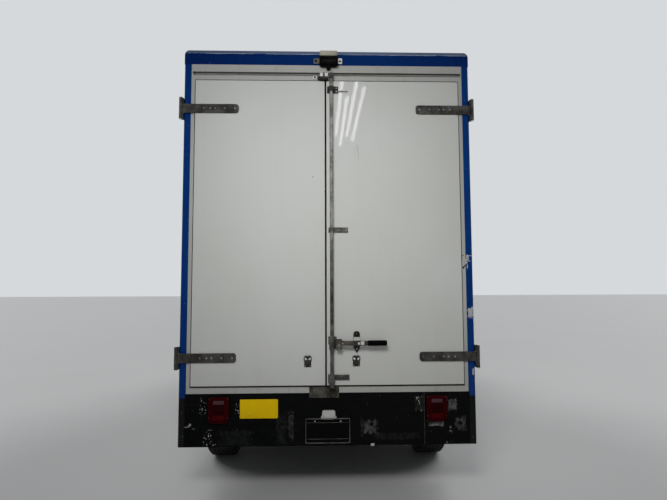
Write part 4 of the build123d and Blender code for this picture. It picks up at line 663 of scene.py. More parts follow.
STAINLESS = Plated("stainless", (186, 186, 184), (120, 119, 116), 60, 0.24, 0.3, 0.0)
BRIGHT_ZINC = Plated("bright_zinc", (230, 230, 226), (140, 138, 132), 160, 0.26, 0.3, 0.05)
CATCH_STEEL = Plated("catch_steel", (56, 54, 51), (30, 28, 25), 160, 0.46, 0.6, 0.15, grime=0.3)
DARK_CASTING = Plated("dark_casting", (74, 73, 71), (40, 38, 36), 160, 0.45, 0.5, 0.15)
ALUMINIUM = Plated("aluminium", (182, 184, 186), (140, 140, 138), 24, 0.34, 0.3, 0.0)
ENGINE_IRON = Plated("engine_iron", (98, 96, 92), (52, 48, 44), 240, 0.55, 0.7, 0.25, 0.6)
EXHAUST = Plated("exhaust_steel", (130, 118, 106), (84, 64, 50), 40, 0.5, 0.8, 0.5)
MIRROR_SILVER = Plated("mirror_silver", (225, 228, 230), (205, 206, 208), 8, 0.04, 0.1, 0.0, 1.0)
LAMP_BOWL = Plated("lamp_bowl", (214, 216, 218), (180, 182, 184), 20, 0.12, 0.1, 0.0)
BLACK_PLASTIC = Plastic("black_plastic", (22, 22, 23), (38, 38, 39), 0.52, shine=0.2)
GLOSS_BLACK = Plastic("gloss_black", (5, 5, 7), (9, 9, 11), 0.20, 400, 0.02, 0.004, 0.04)
BUMPER_PLASTIC = Plastic("bumper_plastic", (40, 41, 42), (62, 62, 62), 0.6, 700, 0.2, 0.35)
TRIM_PLASTIC = Plastic("trim_plastic", (44, 44, 46), (58, 58, 59), 0.58, relief=0.2, dust=0.10)
PALE_TRIM = Plastic("pale_trim", (126, 124, 118), (140, 138, 132), 0.62, relief=0.2, dust=0.10)
TANK_PLASTIC = Plastic("tank_plastic", (22, 22, 23), (44, 43, 42), 0.6, 300, dust=0.5)
CAMERA_CAP = Plastic("camera_cap", (168, 164, 150), (150, 146, 132), 0.5, 500, 0.08, 0.35)
LAMP_WHITE = Plastic("lamp_white", (186, 186, 182), (158, 156, 150), 0.35, 400, 0.05, 0.35)
SIGN_YELLOW = Plastic("sign_yellow", (218, 182, 0), (206, 168, 4), 0.42, 300, 0.02, 0.05, 0.10)
GRIP_BLACK = Rubber("grip_rubber", (5, 5, 5), 0.0, 0.03)
SEAL_BLACK = Rubber("seal_rubber", (12, 12, 12), 0.04, 0.06)
TYRE_RUBBER = Rubber("tyre_rubber", (26, 26, 26), 0.42)
WINDOW_TINT = Glass("window_glass", (206, 222, 216))
LAMP_CLEAR = Glass("lamp_clear", (238, 240, 240), 0.2)
RED_TAPE = Lens("red_reflector", (78, 2, 6), (48, 1, 4), 0.003, 0.03)
RED_LENS = Lens("red_lens", (64, 1, 6), (28, 0, 2), 0.007, 0.03)
# Darker copy of the red lens: painted shade of the lamps' recessed middle
RECESS_SHADE_LENS = Lens("recess_shade_lens", (44, 1, 4), (18, 0, 2), 0.010, 0.03)
CLEAR_LENS = Lens("clear_lens", (150, 140, 138), (72, 60, 60), 0.004, 0.35)
WINDOW_LENS = Lens("window_lens", (92, 66, 72), (40, 16, 20), 0.004)
AMBER_LENS = Lens("amber_lens", (220, 110, 14), (140, 56, 6), 0.005, 0.35)
FLOOR_BOARDS = Boards("floor_boards", (112, 80, 50))
LINING_BOARD = Boards("lining_board", (150, 122, 84), top=None, width=0.30)
RADIATOR_FINS = Fins("radiator_fins", (120, 122, 124))
SEAT_CLOTH = Cloth("seat_cloth", (42, 44, 50), (70, 72, 78))

NODE_FINISHES = {
    POST_BLUE_LIT: ("corner_posts",),
    RAIL_BLUE_SHADED: ("edge_rails",),
    ROOF_GREY: ("box_roof",),
    DOOR_WHITE: ("rear_door_left", "rear_door_right"),
    FRAME_WHITE: ("rear_frame",),
    WALL_WHITE: ("box_walls",),
    CAB_WHITE: ("cab_shell", "cab_door_left", "cab_door_right", "front_fenders", "bonnet"),
    APRON_BLACK: ("rear_apron",),
    SKIRT_BLACK: ("side_skirts",),
    CHASSIS_BLACK: (
        "frame_rails", "crossmembers", "leaf_springs", "front_axle", "rear_axle",
        "steering_knuckle_left", "steering_knuckle_right",
    ),
    WHEEL_SILVER: ("front_wheel_left", "front_wheel_right", "rear_wheel_left", "rear_wheel_right"),
    STRAP_STEEL: ("hinge_straps_left", "hinge_straps_right", "hinge_brackets"),
    ENGINE_IRON: ("engine_block",),
    EXHAUST: ("exhaust_pipe",),
    BLACK_PLASTIC: ("mirror_left", "mirror_right", "grille"),
    BUMPER_PLASTIC: ("front_bumper",),
    TRIM_PLASTIC: ("dashboard", "steering_wheel"),
    TANK_PLASTIC: ("fuel_tank",),
    WINDOW_TINT: ("windscreen", "door_glass_left", "door_glass_right"),
    FLOOR_BOARDS: ("box_floor",),
    RADIATOR_FINS: ("radiator",),
}


def dress_nodes() -> None:
    """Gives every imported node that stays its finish."""
    for finish, nodes in NODE_FINISHES.items():
        for node in nodes:
            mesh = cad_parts[node].data
            mesh.materials.clear()
            mesh.materials.append(material_of(finish))


class Spans(NamedTuple):
    """A box's spans along the three axes, in millimetres."""

    x: Span
    y: Span
    z: Span


def box(node: str) -> Spans:
    """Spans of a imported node."""
    low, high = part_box(node)
    return Spans(*((low[index] / MM, high[index] / MM) for index in range(3)))


def metres(point: Point) -> Vector:
    """A point or a distance in millimetres, turned to metres."""
    return Vector([part * MM for part in point])


def about(middle: float, half: float) -> Span:
    """Span of a half width on both sides of a middle."""
    return middle - half, middle + half


def mid(span: Span) -> float:
    """Middle of a span."""
    return (span[0] + span[1]) / 2


def aimed(way: Point) -> Matrix:
    """Turn that brings +Z to a given way."""
    return Vector(way).to_track_quat("Z", "X").to_matrix().to_4x4()


def shift(part: bmesh.types.BMesh, items: Iterable, way: Point) -> None:
    """Moves the corners among a part's items by millimetres."""
    verts = [item for item in items if isinstance(item, bmesh.types.BMVert)]
    bmesh.ops.translate(part, verts=verts, vec=metres(way))


def link(name: str, data: bpy.types.ID) -> bpy.types.Object:
    """New object in the scene."""
    made = bpy.data.objects.new(name, data)
    bpy.context.scene.collection.objects.link(made)
    return made


@dataclass
class Form:
    """A mesh under way, of parts that bmesh operators shape. Sizes and places are in millimetres."""

    finishes: list[Finish] = field(default_factory=list)
    mesh: bmesh.types.BMesh = field(default_factory=bmesh.new)
    corner_steps: int = 6
    foot_steps: int = 8
    # Share of a face's or edge's direction that counts as along an axis
    parallel: float = 0.99
    # Angles in radians and degrees over which an edge is a rim, and is drawn sharp
    rim_angle: float = 1.2
    sharp_angle: float = 35.0

    def add(self, part: bmesh.types.BMesh, finish: Finish, places: Iterable[Matrix] = (Matrix(),)) -> None:
        """Joins a shaped part to the mesh.

        Args:
            part: The part in metres, which is freed.
            finish: Its finish.
            places: Where its copies go.
        """
        if finish not in self.finishes:
            self.finishes.append(finish)
        for face in part.faces:
            face.material_index = self.finishes.index(finish)
            face.smooth = True
        for place in places:
            copy = bpy.data.meshes.new("part")
            part.to_mesh(copy)
            copy.transform(place)
            self.mesh.from_mesh(copy)
            bpy.data.meshes.remove(copy)
        part.free()

    @staticmethod
    def ease(
        part: bmesh.types.BMesh, edges: list[bmesh.types.BMEdge], size: float, segments: int = 2
    ) -> None:
        """Rounds edges of a part.

        Args:
            part: The part.
            edges: The edges.
            size: Width of the round, nothing for none.
            segments: Steps of the round.
        """
        if size > 0 and edges:
            bmesh.ops.bevel(
                part, geom=edges, offset=size * MM, offset_type="OFFSET", affect="EDGES",
                segments=segments, profile=0.5, material=-1, clamp_overlap=True,
            )

    def ease_rims(self, part: bmesh.types.BMesh, caps: Iterable[bmesh.types.BMFace], size: float) -> None:
        """Rounds the edges of a part's end faces."""
        self.ease(part, list({rim for cap in caps for rim in cap.edges}), size)

    @staticmethod
    def cuboid(x: Span, y: Span, z: Span) -> bmesh.types.BMesh:
        """Plain part between three spans."""
        low, high = metres([min(span) for span in (x, y, z)]), metres([max(span) for span in (x, y, z)])
        part = bmesh.new()
        place = Matrix.Translation((low + high) / 2) @ Matrix.Diagonal((*(high - low), 1.0))
        bmesh.ops.create_cube(part, size=1.0, matrix=place)
        return part

    def block(
        self, x: Span, y: Span, z: Span, finish: Finish, edge: float = 0, place: Matrix | None = None
    ) -> None:
        """Adds a block.

        Args:
            x: Its span of X, as Y's and Z's in either order.
            y: Its span of Y.
            z: Its span of Z.
            finish: Its finish.
            edge: Radius of its edges.
            place: Where it is moved after it is made.
        """
        part = self.cuboid(x, y, z)
        self.ease(part, part.edges[:], edge)
        self.add(part, finish, (place or Matrix(),))

    def plate(
        self, x: Span, y: Span, z: Span, axis: Axis, corner: float, finish: Finish, edge: float = 0,
        foot: float | None = None,
    ) -> None:
        """Adds a block whose four edges along one axis are rounded, and then its rims.

        Args:
            x: Its span of X, as Y's and Z's in either order.
            y: Its span of Y.
            z: Its span of Z.
            axis: The way through the plate.
            corner: Radius of its corners.
            finish: Its finish.
            edge: Radius of its rims.
            foot: Radius of its lower corners, where they differ.
        """
        part = self.cuboid(x, y, z)
        through = axis.vector
        corners = [
            side for side in part.edges
            if abs((side.verts[1].co - side.verts[0].co).normalized().dot(through)) > self.parallel
        ]
        if foot is None:
            self.ease(part, corners, corner, self.corner_steps)
        else:
            middle = mid(z) * MM
            upper = [side for side in corners if side.verts[0].co.z > middle]
            self.ease(part, upper, corner, self.corner_steps)
            lower = [side for side in corners if side.is_valid and side.verts[0].co.z < middle]
            self.ease(part, lower, foot, self.foot_steps)
        part.normal_update()
        caps = [face for face in part.faces if abs(face.normal.dot(through)) > self.parallel]
        self.ease_rims(part, caps, edge)
        self.add(part, finish)

    def fit(self, rows: Iterable[tuple], face: float, base: float = 0, axis: Axis = Y) -> None:
        """Adds plates to an upright rear face.

        Args:
            rows: Each plate's span of X, span out from the face, span of height, corner, finish and rim
                radius.
            face: The face's Y.
            base: Height that the rows' heights count from.
            axis: The way through the plates.
        """
        for x, out, z, corner, finish, edge in rows:
            y, height = (face - out[0], face - out[1]), (base + z[0], base + z[1])
            self.plate(x, y, height, axis, corner, finish, edge)

    def rod(
        self, start: Point, end: Point, radius: float, finish: Finish, sides: int = 20, edge: float = 0
    ) -> None:
        """Adds a round or many-sided bar from one point to another.

        Args:
            start: Middle of one end.
            end: Middle of the other.
            radius: Its radius.
            finish: Its finish.
            sides: Its sides.
            edge: Radius of its end rims.
        """
        start, end = metres(start), metres(end)
        part = bmesh.new()
        bmesh.ops.create_cone(
            part, cap_ends=True, cap_tris=False, segments=sides, radius1=radius * MM, radius2=radius * MM,
            depth=(end - start).length, matrix=Matrix.Translation((start + end) / 2) @ aimed(end - start),
        )
        self.ease_rims(part, [face for face in part.faces if len(face.verts) == sides], edge)
        self.add(part, finish)

    def lathe(
        self, rows: Sequence[Point], centre: Point, along: Point, finish: Finish, segments: int = 32,
        closed: bool = False,
    ) -> None:
        """Adds a shape turned about an axis.

        Args:
            rows: Its outline, as distance along the axis and radius.
            centre: Where the axis starts.
            along: The axis.
            finish: Its finish.
            segments: Steps of the turn.
            closed: Whether the outline's end joins its start.
        """
        part = bmesh.new()
        verts = [part.verts.new((radius * MM, 0.0, reach * MM)) for reach, radius in rows]
        pairs = list(zip(verts, verts[1:])) + ([(verts[-1], verts[0])] if closed else [])
        edges = [part.edges.new(pair) for pair in pairs]
        bmesh.ops.spin(
            part, geom=verts + edges, cent=(0.0, 0.0, 0.0), axis=(0.0, 0.0, 1.0),
            angle=2 * math.pi, steps=segments, use_merge=True, use_duplicate=False,
        )
        bmesh.ops.remove_doubles(part, verts=part.verts[:], dist=1e-6)
        bmesh.ops.recalc_face_normals(part, faces=part.faces[:])
        self.add(part, finish, (Matrix.Translation(metres(centre)) @ aimed(along),))

    def ring(
        self, x: Span, y: Span, z: Span, axis: Axis, width: float, finish: Finish, edge: float = 0,
        corner: float = 0,
    ) -> None:
        """Adds a flat frame.

        Args:
            x: Its span of X, the lower end first, as in Y's and Z's.
            y: Its span of Y.
            z: Its span of Z.
            axis: The way through it.
            width: Width of its border.
            finish: Its finish.
            edge: Radius of its rims.
            corner: Radius of its outer corners.
        """
        low, high = (metres(end) for end in zip(x, y, z))
        across, up = [index for index in range(3) if index != axis.value]
        part = bmesh.new()
        corners = []
        for first, second in ((low, low), (high, low), (high, high), (low, high)):
            spot = low.copy()
            spot[across], spot[up] = first[across], second[up]
            corners.append(part.verts.new(spot))
        face = part.faces.new(corners)
        if corner:
            bmesh.ops.bevel(
                part, geom=corners, offset=corner * MM, offset_type="OFFSET", affect="VERTICES",
                segments=self.corner_steps, profile=0.5, material=-1,
            )
            face = part.faces[:][0]
        bmesh.ops.inset_region(
            part, faces=[face], thickness=width * MM, use_even_offset=True, use_boundary=True
        )
        bmesh.ops.delete(part, geom=[face], context="FACES")
        grown = bmesh.ops.extrude_face_region(part, geom=part.faces[:])["geom"]
        shift(part, grown, axis.vector * ((high - low)[axis.value] / MM))
        bmesh.ops.recalc_face_normals(part, faces=part.faces[:])
        if edge:
            sides = [side for side in part.edges if len(side.link_faces) == 2]
            self.ease(part, [side for side in sides if side.calc_face_angle() > self.rim_angle], edge)
        self.add(part, finish)

    def tube(
        self, points: Sequence[Point], radius: float, finish: Finish, sides: int = 10, closed: bool = False
    ) -> None:
        """Adds a round bar bent along points, ring bridged to ring.

        Args:
            points: Its middle line.
            radius: Its radius.
            finish: Its finish.
            sides: Its sides.
            closed: Whether its end joins its start.
        """
        line = [metres(point) for point in points]
        count = len(line)
        part = bmesh.new()
        rings = []
        for index, point in enumerate(line):
            before = line[index - 1] if index or closed else point
            after = line[(index + 1) % count] if index < count - 1 or closed else point
            place = Matrix.Translation(point) @ aimed(after - before)
            made = bmesh.ops.create_circle(
                part, cap_ends=False, segments=sides, radius=radius * MM, matrix=place
            )
            rings.append(list({edge for vert in made["verts"] for edge in vert.link_edges}))
        following = rings[1:] + (rings[:1] if closed else [])
        for ring, after in zip(rings, following):
            bmesh.ops.bridge_loops(part, edges=ring + after)
        if not closed:
            bmesh.ops.holes_fill(part, edges=rings[0] + rings[-1], sides=sides)
        bmesh.ops.recalc_face_normals(part, faces=part.faces[:])
        self.add(part, finish)

    def studs(
        self, spots: Iterable[Point], outward: Point, radius: float, height: float, finish: Finish,
        sides: int = 10, taper: float = 0.6,
    ) -> None:
        """Adds rivet or bolt heads.

        Args:
            spots: Where they sit.
            outward: The way that they stand out.
            radius: Radius of a head.
            height: Its height.
            finish: Its finish.
            sides: Sides of a head, 6 for a nut.
            taper: Radius of its top as a share of its foot.
        """
        part = bmesh.new()
        bmesh.ops.create_cone(
            part, cap_ends=True, cap_tris=False, segments=sides, radius1=radius * MM,
            radius2=radius * MM * taper, depth=height * MM * 1.5,
            matrix=Matrix.Translation((0.0, 0.0, height * MM / 4)),
        )
        self.add(part, finish, [Matrix.Translation(metres(spot)) @ aimed(outward) for spot in spots])

    def slab(self, outline: Sequence[Point], through: Point, finish: Finish, edge: float = 0) -> None:
        """Adds a flat outline drawn through a distance.

        Args:
            outline: Its corners in order, in one plane.
            through: The way and distance that it is drawn.
            finish: Its finish.
            edge: Radius of its rims.
        """
        part = bmesh.new()
        face = part.faces.new([part.verts.new(metres(corner)) for corner in outline])
        shift(part, bmesh.ops.extrude_face_region(part, geom=[face])["geom"], through)
        bmesh.ops.recalc_face_normals(part, faces=part.faces[:])
        way = Vector(through).normalized()
        self.ease_rims(part, [item for item in part.faces if abs(item.normal.dot(way)) > self.parallel], edge)
        self.add(part, finish)

    def mirror(self) -> None:
        """Adds the mirror image across the truck's middle."""
        whole = self.mesh.verts[:] + self.mesh.edges[:] + self.mesh.faces[:]
        copied = bmesh.ops.duplicate(self.mesh, geom=whole)["geom"]
        verts = [item for item in copied if isinstance(item, bmesh.types.BMVert)]
        bmesh.ops.scale(self.mesh, vec=(-1.0, 1.0, 1.0), verts=verts)
        bmesh.ops.recalc_face_normals(self.mesh, faces=self.mesh.faces[:])

    def piece(self, name: str, body: str, slot: str, replaces: Sequence[str] = ()) -> bpy.types.Object:
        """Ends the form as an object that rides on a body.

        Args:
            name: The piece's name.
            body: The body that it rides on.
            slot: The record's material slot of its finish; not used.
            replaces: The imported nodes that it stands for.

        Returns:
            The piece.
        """
        bmesh.ops.recalc_face_normals(self.mesh, faces=self.mesh.faces[:])
        loose = sum(not edge.is_manifold for edge in self.mesh.edges)
        data = bpy.data.meshes.new(name)
        self.mesh.to_mesh(data)
        self.mesh.free()
        data.set_sharp_from_angle(angle=math.radians(self.sharp_angle))
        for finish in self.finishes:
            data.materials.append(material_of(finish))
        piece = link(name, data)
        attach(piece, body)
        if replaces:
            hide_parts(*replaces)
        LOG.info("%s on %s: %d faces, %d open edges", name, body, len(data.polygons), loose)
        return piece


# Places that several assemblies share
DOOR_Y = box("rear_door_right").y[0]
DOOR_FOOT_Z, DOOR_HEAD_Z = box("rear_door_right").z
FRAME_Y = box("rear_apron").y[0]
APRON_Z, SILL_Z = box("rear_apron").z
ROOF_Z = box("box_roof").z[1]


@dataclass
class Studio:
    """Camera at the photograph's viewing angle, pale floor, and plain soft lamps, in metres."""

    image_width: float = 667.0
    focal_pixels: float = 480.0
    place: Point = (-0.059, -6.273, 1.483)
    yaw: float = 1.64
    pitch: float = 4.15
    roll: float = -0.195
    floor_half: float = 60.0
    tubes: tuple[Span, ...] = ((0.30, -8.2), (0.42, -9.0), (0.54, -8.3), (0.68, -8.6))
    tube_height: float = 4.75

    def build(self) -> None:
        """Makes the camera, the floor, the sky and the lamps."""
        self.camera()
        self.floor()
        self.sky()
        key = self.lamp("key", "AREA", (-0.6, -6.4, 3.9), (0.08, -2.83, 1.85), 17.0, (1.6, 1.2))
        key.data.spread = math.radians(60.0)
        key.visible_glossy = False
        for index, (x, y) in enumerate(self.tubes):
            tube = self.lamp(f"tube_{index}", "AREA", (x, y, self.tube_height), (x, y, 0.0), 7.5, (0.06, 3.0))
            tube.visible_diffuse = False
        for name, place in (("sun_left", (-40.0, 22.0, 46.0)), ("sun_right", (40.0, 26.0, 46.0))):
            self.lamp(name, "SUN", place, (0.0, 0.0, 0.0), 1.0).data.angle = math.radians(35.0)
        bpy.context.scene.view_settings.view_transform = "Standard"

    def camera(self) -> None:
        """Camera that looks at the rear doors, a little to the right and up."""
        data = bpy.data.cameras.new("camera")
        data.lens = self.focal_pixels * data.sensor_width / self.image_width
        yaw, pitch, roll = (math.radians(angle) for angle in (self.yaw, self.pitch, self.roll))
        ahead = Vector((math.sin(yaw) * math.cos(pitch), math.cos(yaw) * math.cos(pitch), math.sin(pitch)))
        level = Vector((math.cos(yaw), -math.sin(yaw), 0.0))
        right = level * math.cos(roll) + level.cross(ahead) * math.sin(roll)
        turn = Matrix((right, right.cross(ahead), -ahead)).transposed().to_4x4()
        camera = link("camera", data)
        camera.matrix_world = Matrix.Translation(self.place) @ turn
        bpy.context.scene.camera = camera

    def floor(self) -> None:
        """Pale floor that keeps the truck's shadow."""
        mesh = bmesh.new()
        bmesh.ops.create_grid(mesh, x_segments=1, y_segments=1, size=self.floor_half)
        data = bpy.data.meshes.new("floor")
        mesh.to_mesh(data)
        mesh.free()
        shader = Shader("studio_floor")
        cloud = shader.noise(0.6, 4.0)
        tone = shader.mix(cloud, (196, 196, 195), (204, 204, 203))
        shader.lay(Base_Color=tone, Roughness=cloud * 0.1 + 0.55)
        data.materials.append(shader.material)
        floor = link("floor", data)

    def sky(self) -> None:
        """Pale backdrop for the camera and for reflections, and a plain light for all else."""
        world = bpy.data.worlds.new("studio")
        bpy.context.scene.world = world
        world.use_nodes = True
        tree = world.node_tree
        tree.nodes.clear()
        path = tree.nodes.new("ShaderNodeLightPath")
        seen = path.outputs["Is Camera Ray"]
        for ray in ("Is Glossy Ray", "Is Transmission Ray"):
            either = tree.nodes.new("ShaderNodeMath")
            either.operation = "MAXIMUM"
            tree.links.new(seen, either.inputs[0])
            tree.links.new(path.outputs[ray], either.inputs[1])
            seen = either.outputs[0]
        mix = tree.nodes.new("ShaderNodeMixShader")
        tree.links.new(seen, mix.inputs[0])
        for place, colour, strength in ((1, (236, 240, 246), 0.21), (2, (214, 217, 220), 1.0)):
            shade = tree.nodes.new("ShaderNodeBackground")
            shade.inputs["Color"].default_value = linear(colour)
            shade.inputs["Strength"].default_value = strength
            tree.links.new(shade.outputs[0], mix.inputs[place])
        output = tree.nodes.new("ShaderNodeOutputWorld")
        tree.links.new(mix.outputs[0], output.inputs["Surface"])

    @staticmethod
    def lamp(
        name: str, kind: str, place: Point, target: Point, power: float, size: Span | None = None
    ) -> bpy.types.Object:
        """Soft lamp that faces a target.

        Args:
            name: Its name.
            kind: Blender's type of light.
            place: Where it stands.
            target: The point that it faces.
            power: Its power in watts, or a sun's strength.
            size: Width and height of a rectangular one.

        Returns:
            The lamp.
        """
        data = bpy.data.lights.new(name, kind)
        data.energy = power
        if size:
            data.shape = "RECTANGLE"
            data.size, data.size_y = size
        lamp = link(name, data)
        aim = (Vector(target) - Vector(place)).to_track_quat("-Z", "Y")
        lamp.matrix_world = Matrix.Translation(place) @ aim.to_matrix().to_4x4()
        return lamp


@dataclass
class RearDoors:
    """What the barn doors carry: seals, linings, hinge bolts, lock gear, hasps and keepers."""

    opening_gap: float = 6
    opening_lap: float = 1.5
    seal_width: float = 2.6
    seal_lap: float = 2.2
    # Black laps onto the door at its middle edge and foot: partly seal, partly painted shade of the gaps
    middle_lap_seal_and_shade: float = 3.2
    foot_lap_seal_and_shade: float = 4.6
    lining_margin: float = 45
    lining_thickness: float = 3
    bolt_distances: tuple[float, ...] = (26, 100, 170, 205, 252)
    bolt_radius: float = 9.5
    bolt_height: float = 5
    strap_heights: Span = (DOOR_FOOT_Z + 200, DOOR_HEAD_Z - 214)
    strap_thickness: float = 8
    rod_x: float = 26
    rod_y: float = DOOR_Y - 26
    rod_radius: float = 12.5
    handle_z: float = DOOR_FOOT_Z + 303
    bar_y: float = DOOR_Y - 52
    strip_thickness: float = 2.5

    def build(self) -> None:
        """Makes everything on both doors and on the frame round them."""
        for side in Side:
            self.seals(side)
            self.hinge_bolts(side)
        self.bracket_bolts()
        self.header_rail()
        self.lock_gear()
        self.left_hasp()
        self.keepers()

    def header_rail(self) -> None:
        """Dark strip along the drip rail as painted shade of its channel, a bright bead above it, a torn
        flap, and the seal round the opening.
        """
        face = box("rear_frame").y[0]
        form = Form()
        # Dark strip: painted shade in the drip rail's channel, under the white bead
        form.block((-985, 985), (face - 1.5, face + 2), (3030, 3043), TRIM_PLASTIC, 0.5)
        form.block((-985, 985), (face - 3, face + 4), (3043, 3054), FRAME_WHITE, 1.2)
        for x in (-1006.5, 998):
            form.block((x, x + 8.5), (FRAME_Y - 0.8, FRAME_Y + 2), (SILL_Z, 3105), POST_BLUE_LIT, 0.3)
        torn = [
            (972.5, 1692), (984, 1690), (1000, 1672), (1020, 1664), (1008, 1650), (1014, 1638), (992, 1624),
            (972.5, 1600),
        ]
        dark = [(x - 4, z + 6) for x, z in torn[:4]] + [(x + 4, z - 5) for x, z in torn[4:]]
        for outline, proud, finish, edge in ((torn, 4, FRAME_WHITE, 0.6), (dark, 2.5, GLOSS_BLACK, 0)):
            form.slab([(x, FRAME_Y - proud, z) for x, z in outline], (0, 3, 0), finish, edge)
        left, right = box("rear_door_left"), box("rear_door_right")
        reach = self.opening_gap + self.opening_lap
        form.ring(
            (left.x[0] - reach, right.x[1] + reach), (FRAME_Y - 1, FRAME_Y + 30),
            (left.z[0] - reach, right.z[1] + reach), Y, self.opening_lap + self.seal_lap, SEAL_BLACK,
        )
        form.studs([(981, FRAME_Y - 4, 1606)], REARWARD, 8, 2, GLOSS_BLACK)
        form.piece("header_rail", "chassis", "white_panel")

    def seals(self, side: Side) -> None:
        """Rubber seal round a door's edge, with black strips at its middle edge and foot that are partly seal
        and partly painted shade of the door gaps, and the lining on its inner face.
        """
        x, y, z = box(f"rear_door_{side.word}")
        gap, inner = self.seal_width, self.lining_margin
        wide_x, wide_z = ((low - gap, high + gap) for low, high in (x, z))
        form = Form()
        form.ring(wide_x, (y[0] - 1, y[0] + 3), wide_z, Y, gap + self.seal_lap, SEAL_BLACK)
        form.ring(wide_x, (y[0] + 2, y[1] - 4), wide_z, Y, gap, SEAL_BLACK)
        near, front = side.near(x), (y[0] - 1.3, y[0] + 2)
        # Black strips at the middle edge and the foot: partly seal, partly painted shade of the door gaps
        form.block((near + side.value * self.middle_lap_seal_and_shade, near - side.value * gap), front, z, SEAL_BLACK)
        form.block(x, front, (z[0] - gap, z[0] + self.foot_lap_seal_and_shade), SEAL_BLACK)
        lining = (y[1], y[1] + self.lining_thickness)
        form.plate((x[0] + inner, x[1] - inner), lining, (z[0] + inner, z[1] - inner), Y, 10, PALE_TRIM, 1)
        form.piece(f"rear_door_seal_{side.word}", f"rear_door_{side.word}", "white_panel")

    def hinge_bolts(self, side: Side) -> None:
        """Coach bolts along both straps of a door."""
        near = side.near(box(f"hinge_straps_{side.word}").x)
        face = DOOR_Y - self.strap_thickness
        form = Form()
        for z in self.strap_heights:
            spots = [(near + side.value * distance, face, z) for distance in self.bolt_distances]
            form.studs(spots, REARWARD, self.bolt_radius * 1.35, 1.2, STRAP_STEEL, 16, 0.96)
            form.studs(spots, REARWARD, self.bolt_radius, self.bolt_height, STRAP_BOLT, 14, 0.55)
        form.piece(f"hinge_bolts_{side.word}", f"rear_door_{side.word}", "plated_steel")

    def bracket_bolts(self) -> None:
        """Bolts through the hinge brackets into the posts, and caps on the pins."""
        form = Form()
        for z in self.strap_heights:
            spots = [(1056, y, z + step) for y in (-2770, -2720) for step in (-52, 0, 52)]
            form.studs(spots, RIGHTWARD, 10, 7, BRIGHT_ZINC, 6, 0.92)
            for end in (-1, 1):
                form.rod((1068, -2838, z + end * 78), (1068, -2838, z + end * 84), 9, BRIGHT_ZINC, 14, 1.5)
        form.mirror()
        form.piece("bracket_bolts", "chassis", "plated_steel")

    def guide(self, form: Form, x: Span, z: Span, finish: Finish) -> None:
        """Adds a rod guide: a base plate on the door and a bent strip round the rod.

        Args:
            form: The form that it joins.
            x: The base plate's span of X.
            z: Its span of Z.
            finish: Its finish.
        """
        form.plate(x, (DOOR_Y - 4, DOOR_Y), z, Y, 5, finish, 1)
        bends = ((-21, 24), (-18, 0), (-12.7, -12.2), (0, -16), (12.7, -12.2), (18, 0), (21, 24))
        outer = [Vector(bend) for bend in bends]
        inner = [bend * (1 - self.strip_thickness / bend.length) for bend in reversed(outer)]
        half = (z[1] - z[0]) * 0.36
        outline = [(self.rod_x + bend.x, self.rod_y + bend.y, mid(z) - half) for bend in outer + inner]
        form.slab(outline, (0, 0, 2 * half), finish)

    def lock_gear(self) -> None:
        """Upright rod with its cams, guides, hub, lever, catch and hasp, on the right door."""
        base, top, middle = DOOR_FOOT_Z, DOOR_HEAD_Z, (DOOR_FOOT_Z + DOOR_HEAD_Z) / 2
        x, y = self.rod_x, self.rod_y
        form = Form()
        form.rod((x, y, base - 10), (x, y, top + 57), self.rod_radius, ROD_STEEL, 28, 1.5)
        self.guide(form, (-4, 77), (top - 94, top - 41), DARK_CASTING)
        form.rod((60, DOOR_Y - 6, top - 78), (148, DOOR_Y - 6, top - 78), 3.5, STAINLESS, 10, 1)
        self.guide(form, (4, 145), (middle - 20, middle + 19), GALVANISED)
        self.guide(form, (0, 60), (base + 290, base + 345), GALVANISED)
        screws = (
            (64, top - 55), (64, top - 83), (80, middle), (130, middle), (100, base + 60), (138, base + 60),
        )
        form.studs([(across, DOOR_Y - 4, up) for across, up in screws], REARWARD, 5, 3, BRIGHT_ZINC)
        for end, reach in ((top + 12, 36), (base + 6, -14)):
            form.rod((x, y, end), (x, y, end + reach), 17.5, GALVANISED, 20, 2)
        hub = ((-50, 12.5), (-46, 19), (10, 20.5), (40, 18), (52, 12.5))
        form.lathe(hub, (x, y, self.handle_z), UPWARD, GALVANISED, 20, closed=True)
        form.fit([((40, 149), (0, 10), (42, 78), 6, GALVANISED, 2)], DOOR_Y, base)
        form.fit([((-2, 46), (0, 40), (24, 82), 12, GALVANISED, 3)], DOOR_Y, base, Z)
        self.lever(form)
        self.catch(form)
        self.hasp(form, 174, base + 136, 50, 77)
        form.piece("lock_rod_set", "rear_door_right", "plated_steel", ["lock_gear"])

    def lever(self, form: Form) -> None:
        """Adds the hub's plates, the flat lever and its rubber grip."""
        z = self.handle_z
        form.fit((
            ((20, 96), (0, 44), (-22, 10), 10, DARK_CASTING, 4),
            ((54, 96), (0, 56), (-42, 16), 10, GALVANISED, 4),
            ((50, 100), (0, 6), (-50, 24), 10, DARK_CASTING, 2),
            ((60, 282), (48, 56), (-17, 17), 12, LEVER_STEEL, 1.5),
            ((226, 252), (44.5, 59.5), (-13, 13), 3, BRIGHT_ZINC, 1.5),
        ), DOOR_Y, z)
        form.studs([(74, DOOR_Y - 56, z - 12)], REARWARD, 11, 5, STRAP_BOLT, 14)
        form.studs([(101, DOOR_Y - 54, z - 2)], REARWARD, 5, 5, BRIGHT_ZINC, 12)
        grip = [(0, 0), (0, 16.5), (3, 19.5)]
        for start in range(13, 105, 13):
            grip += [(start + 3, 19.5), (start + 5.5, 18.2), (start + 8, 19.5)]
        grip += [(127, 19.5), (133, 16.5), (135, 9), (135, 0)]
        form.lathe(grip, (277, self.bar_y, z), RIGHTWARD, GRIP_BLACK, 24)

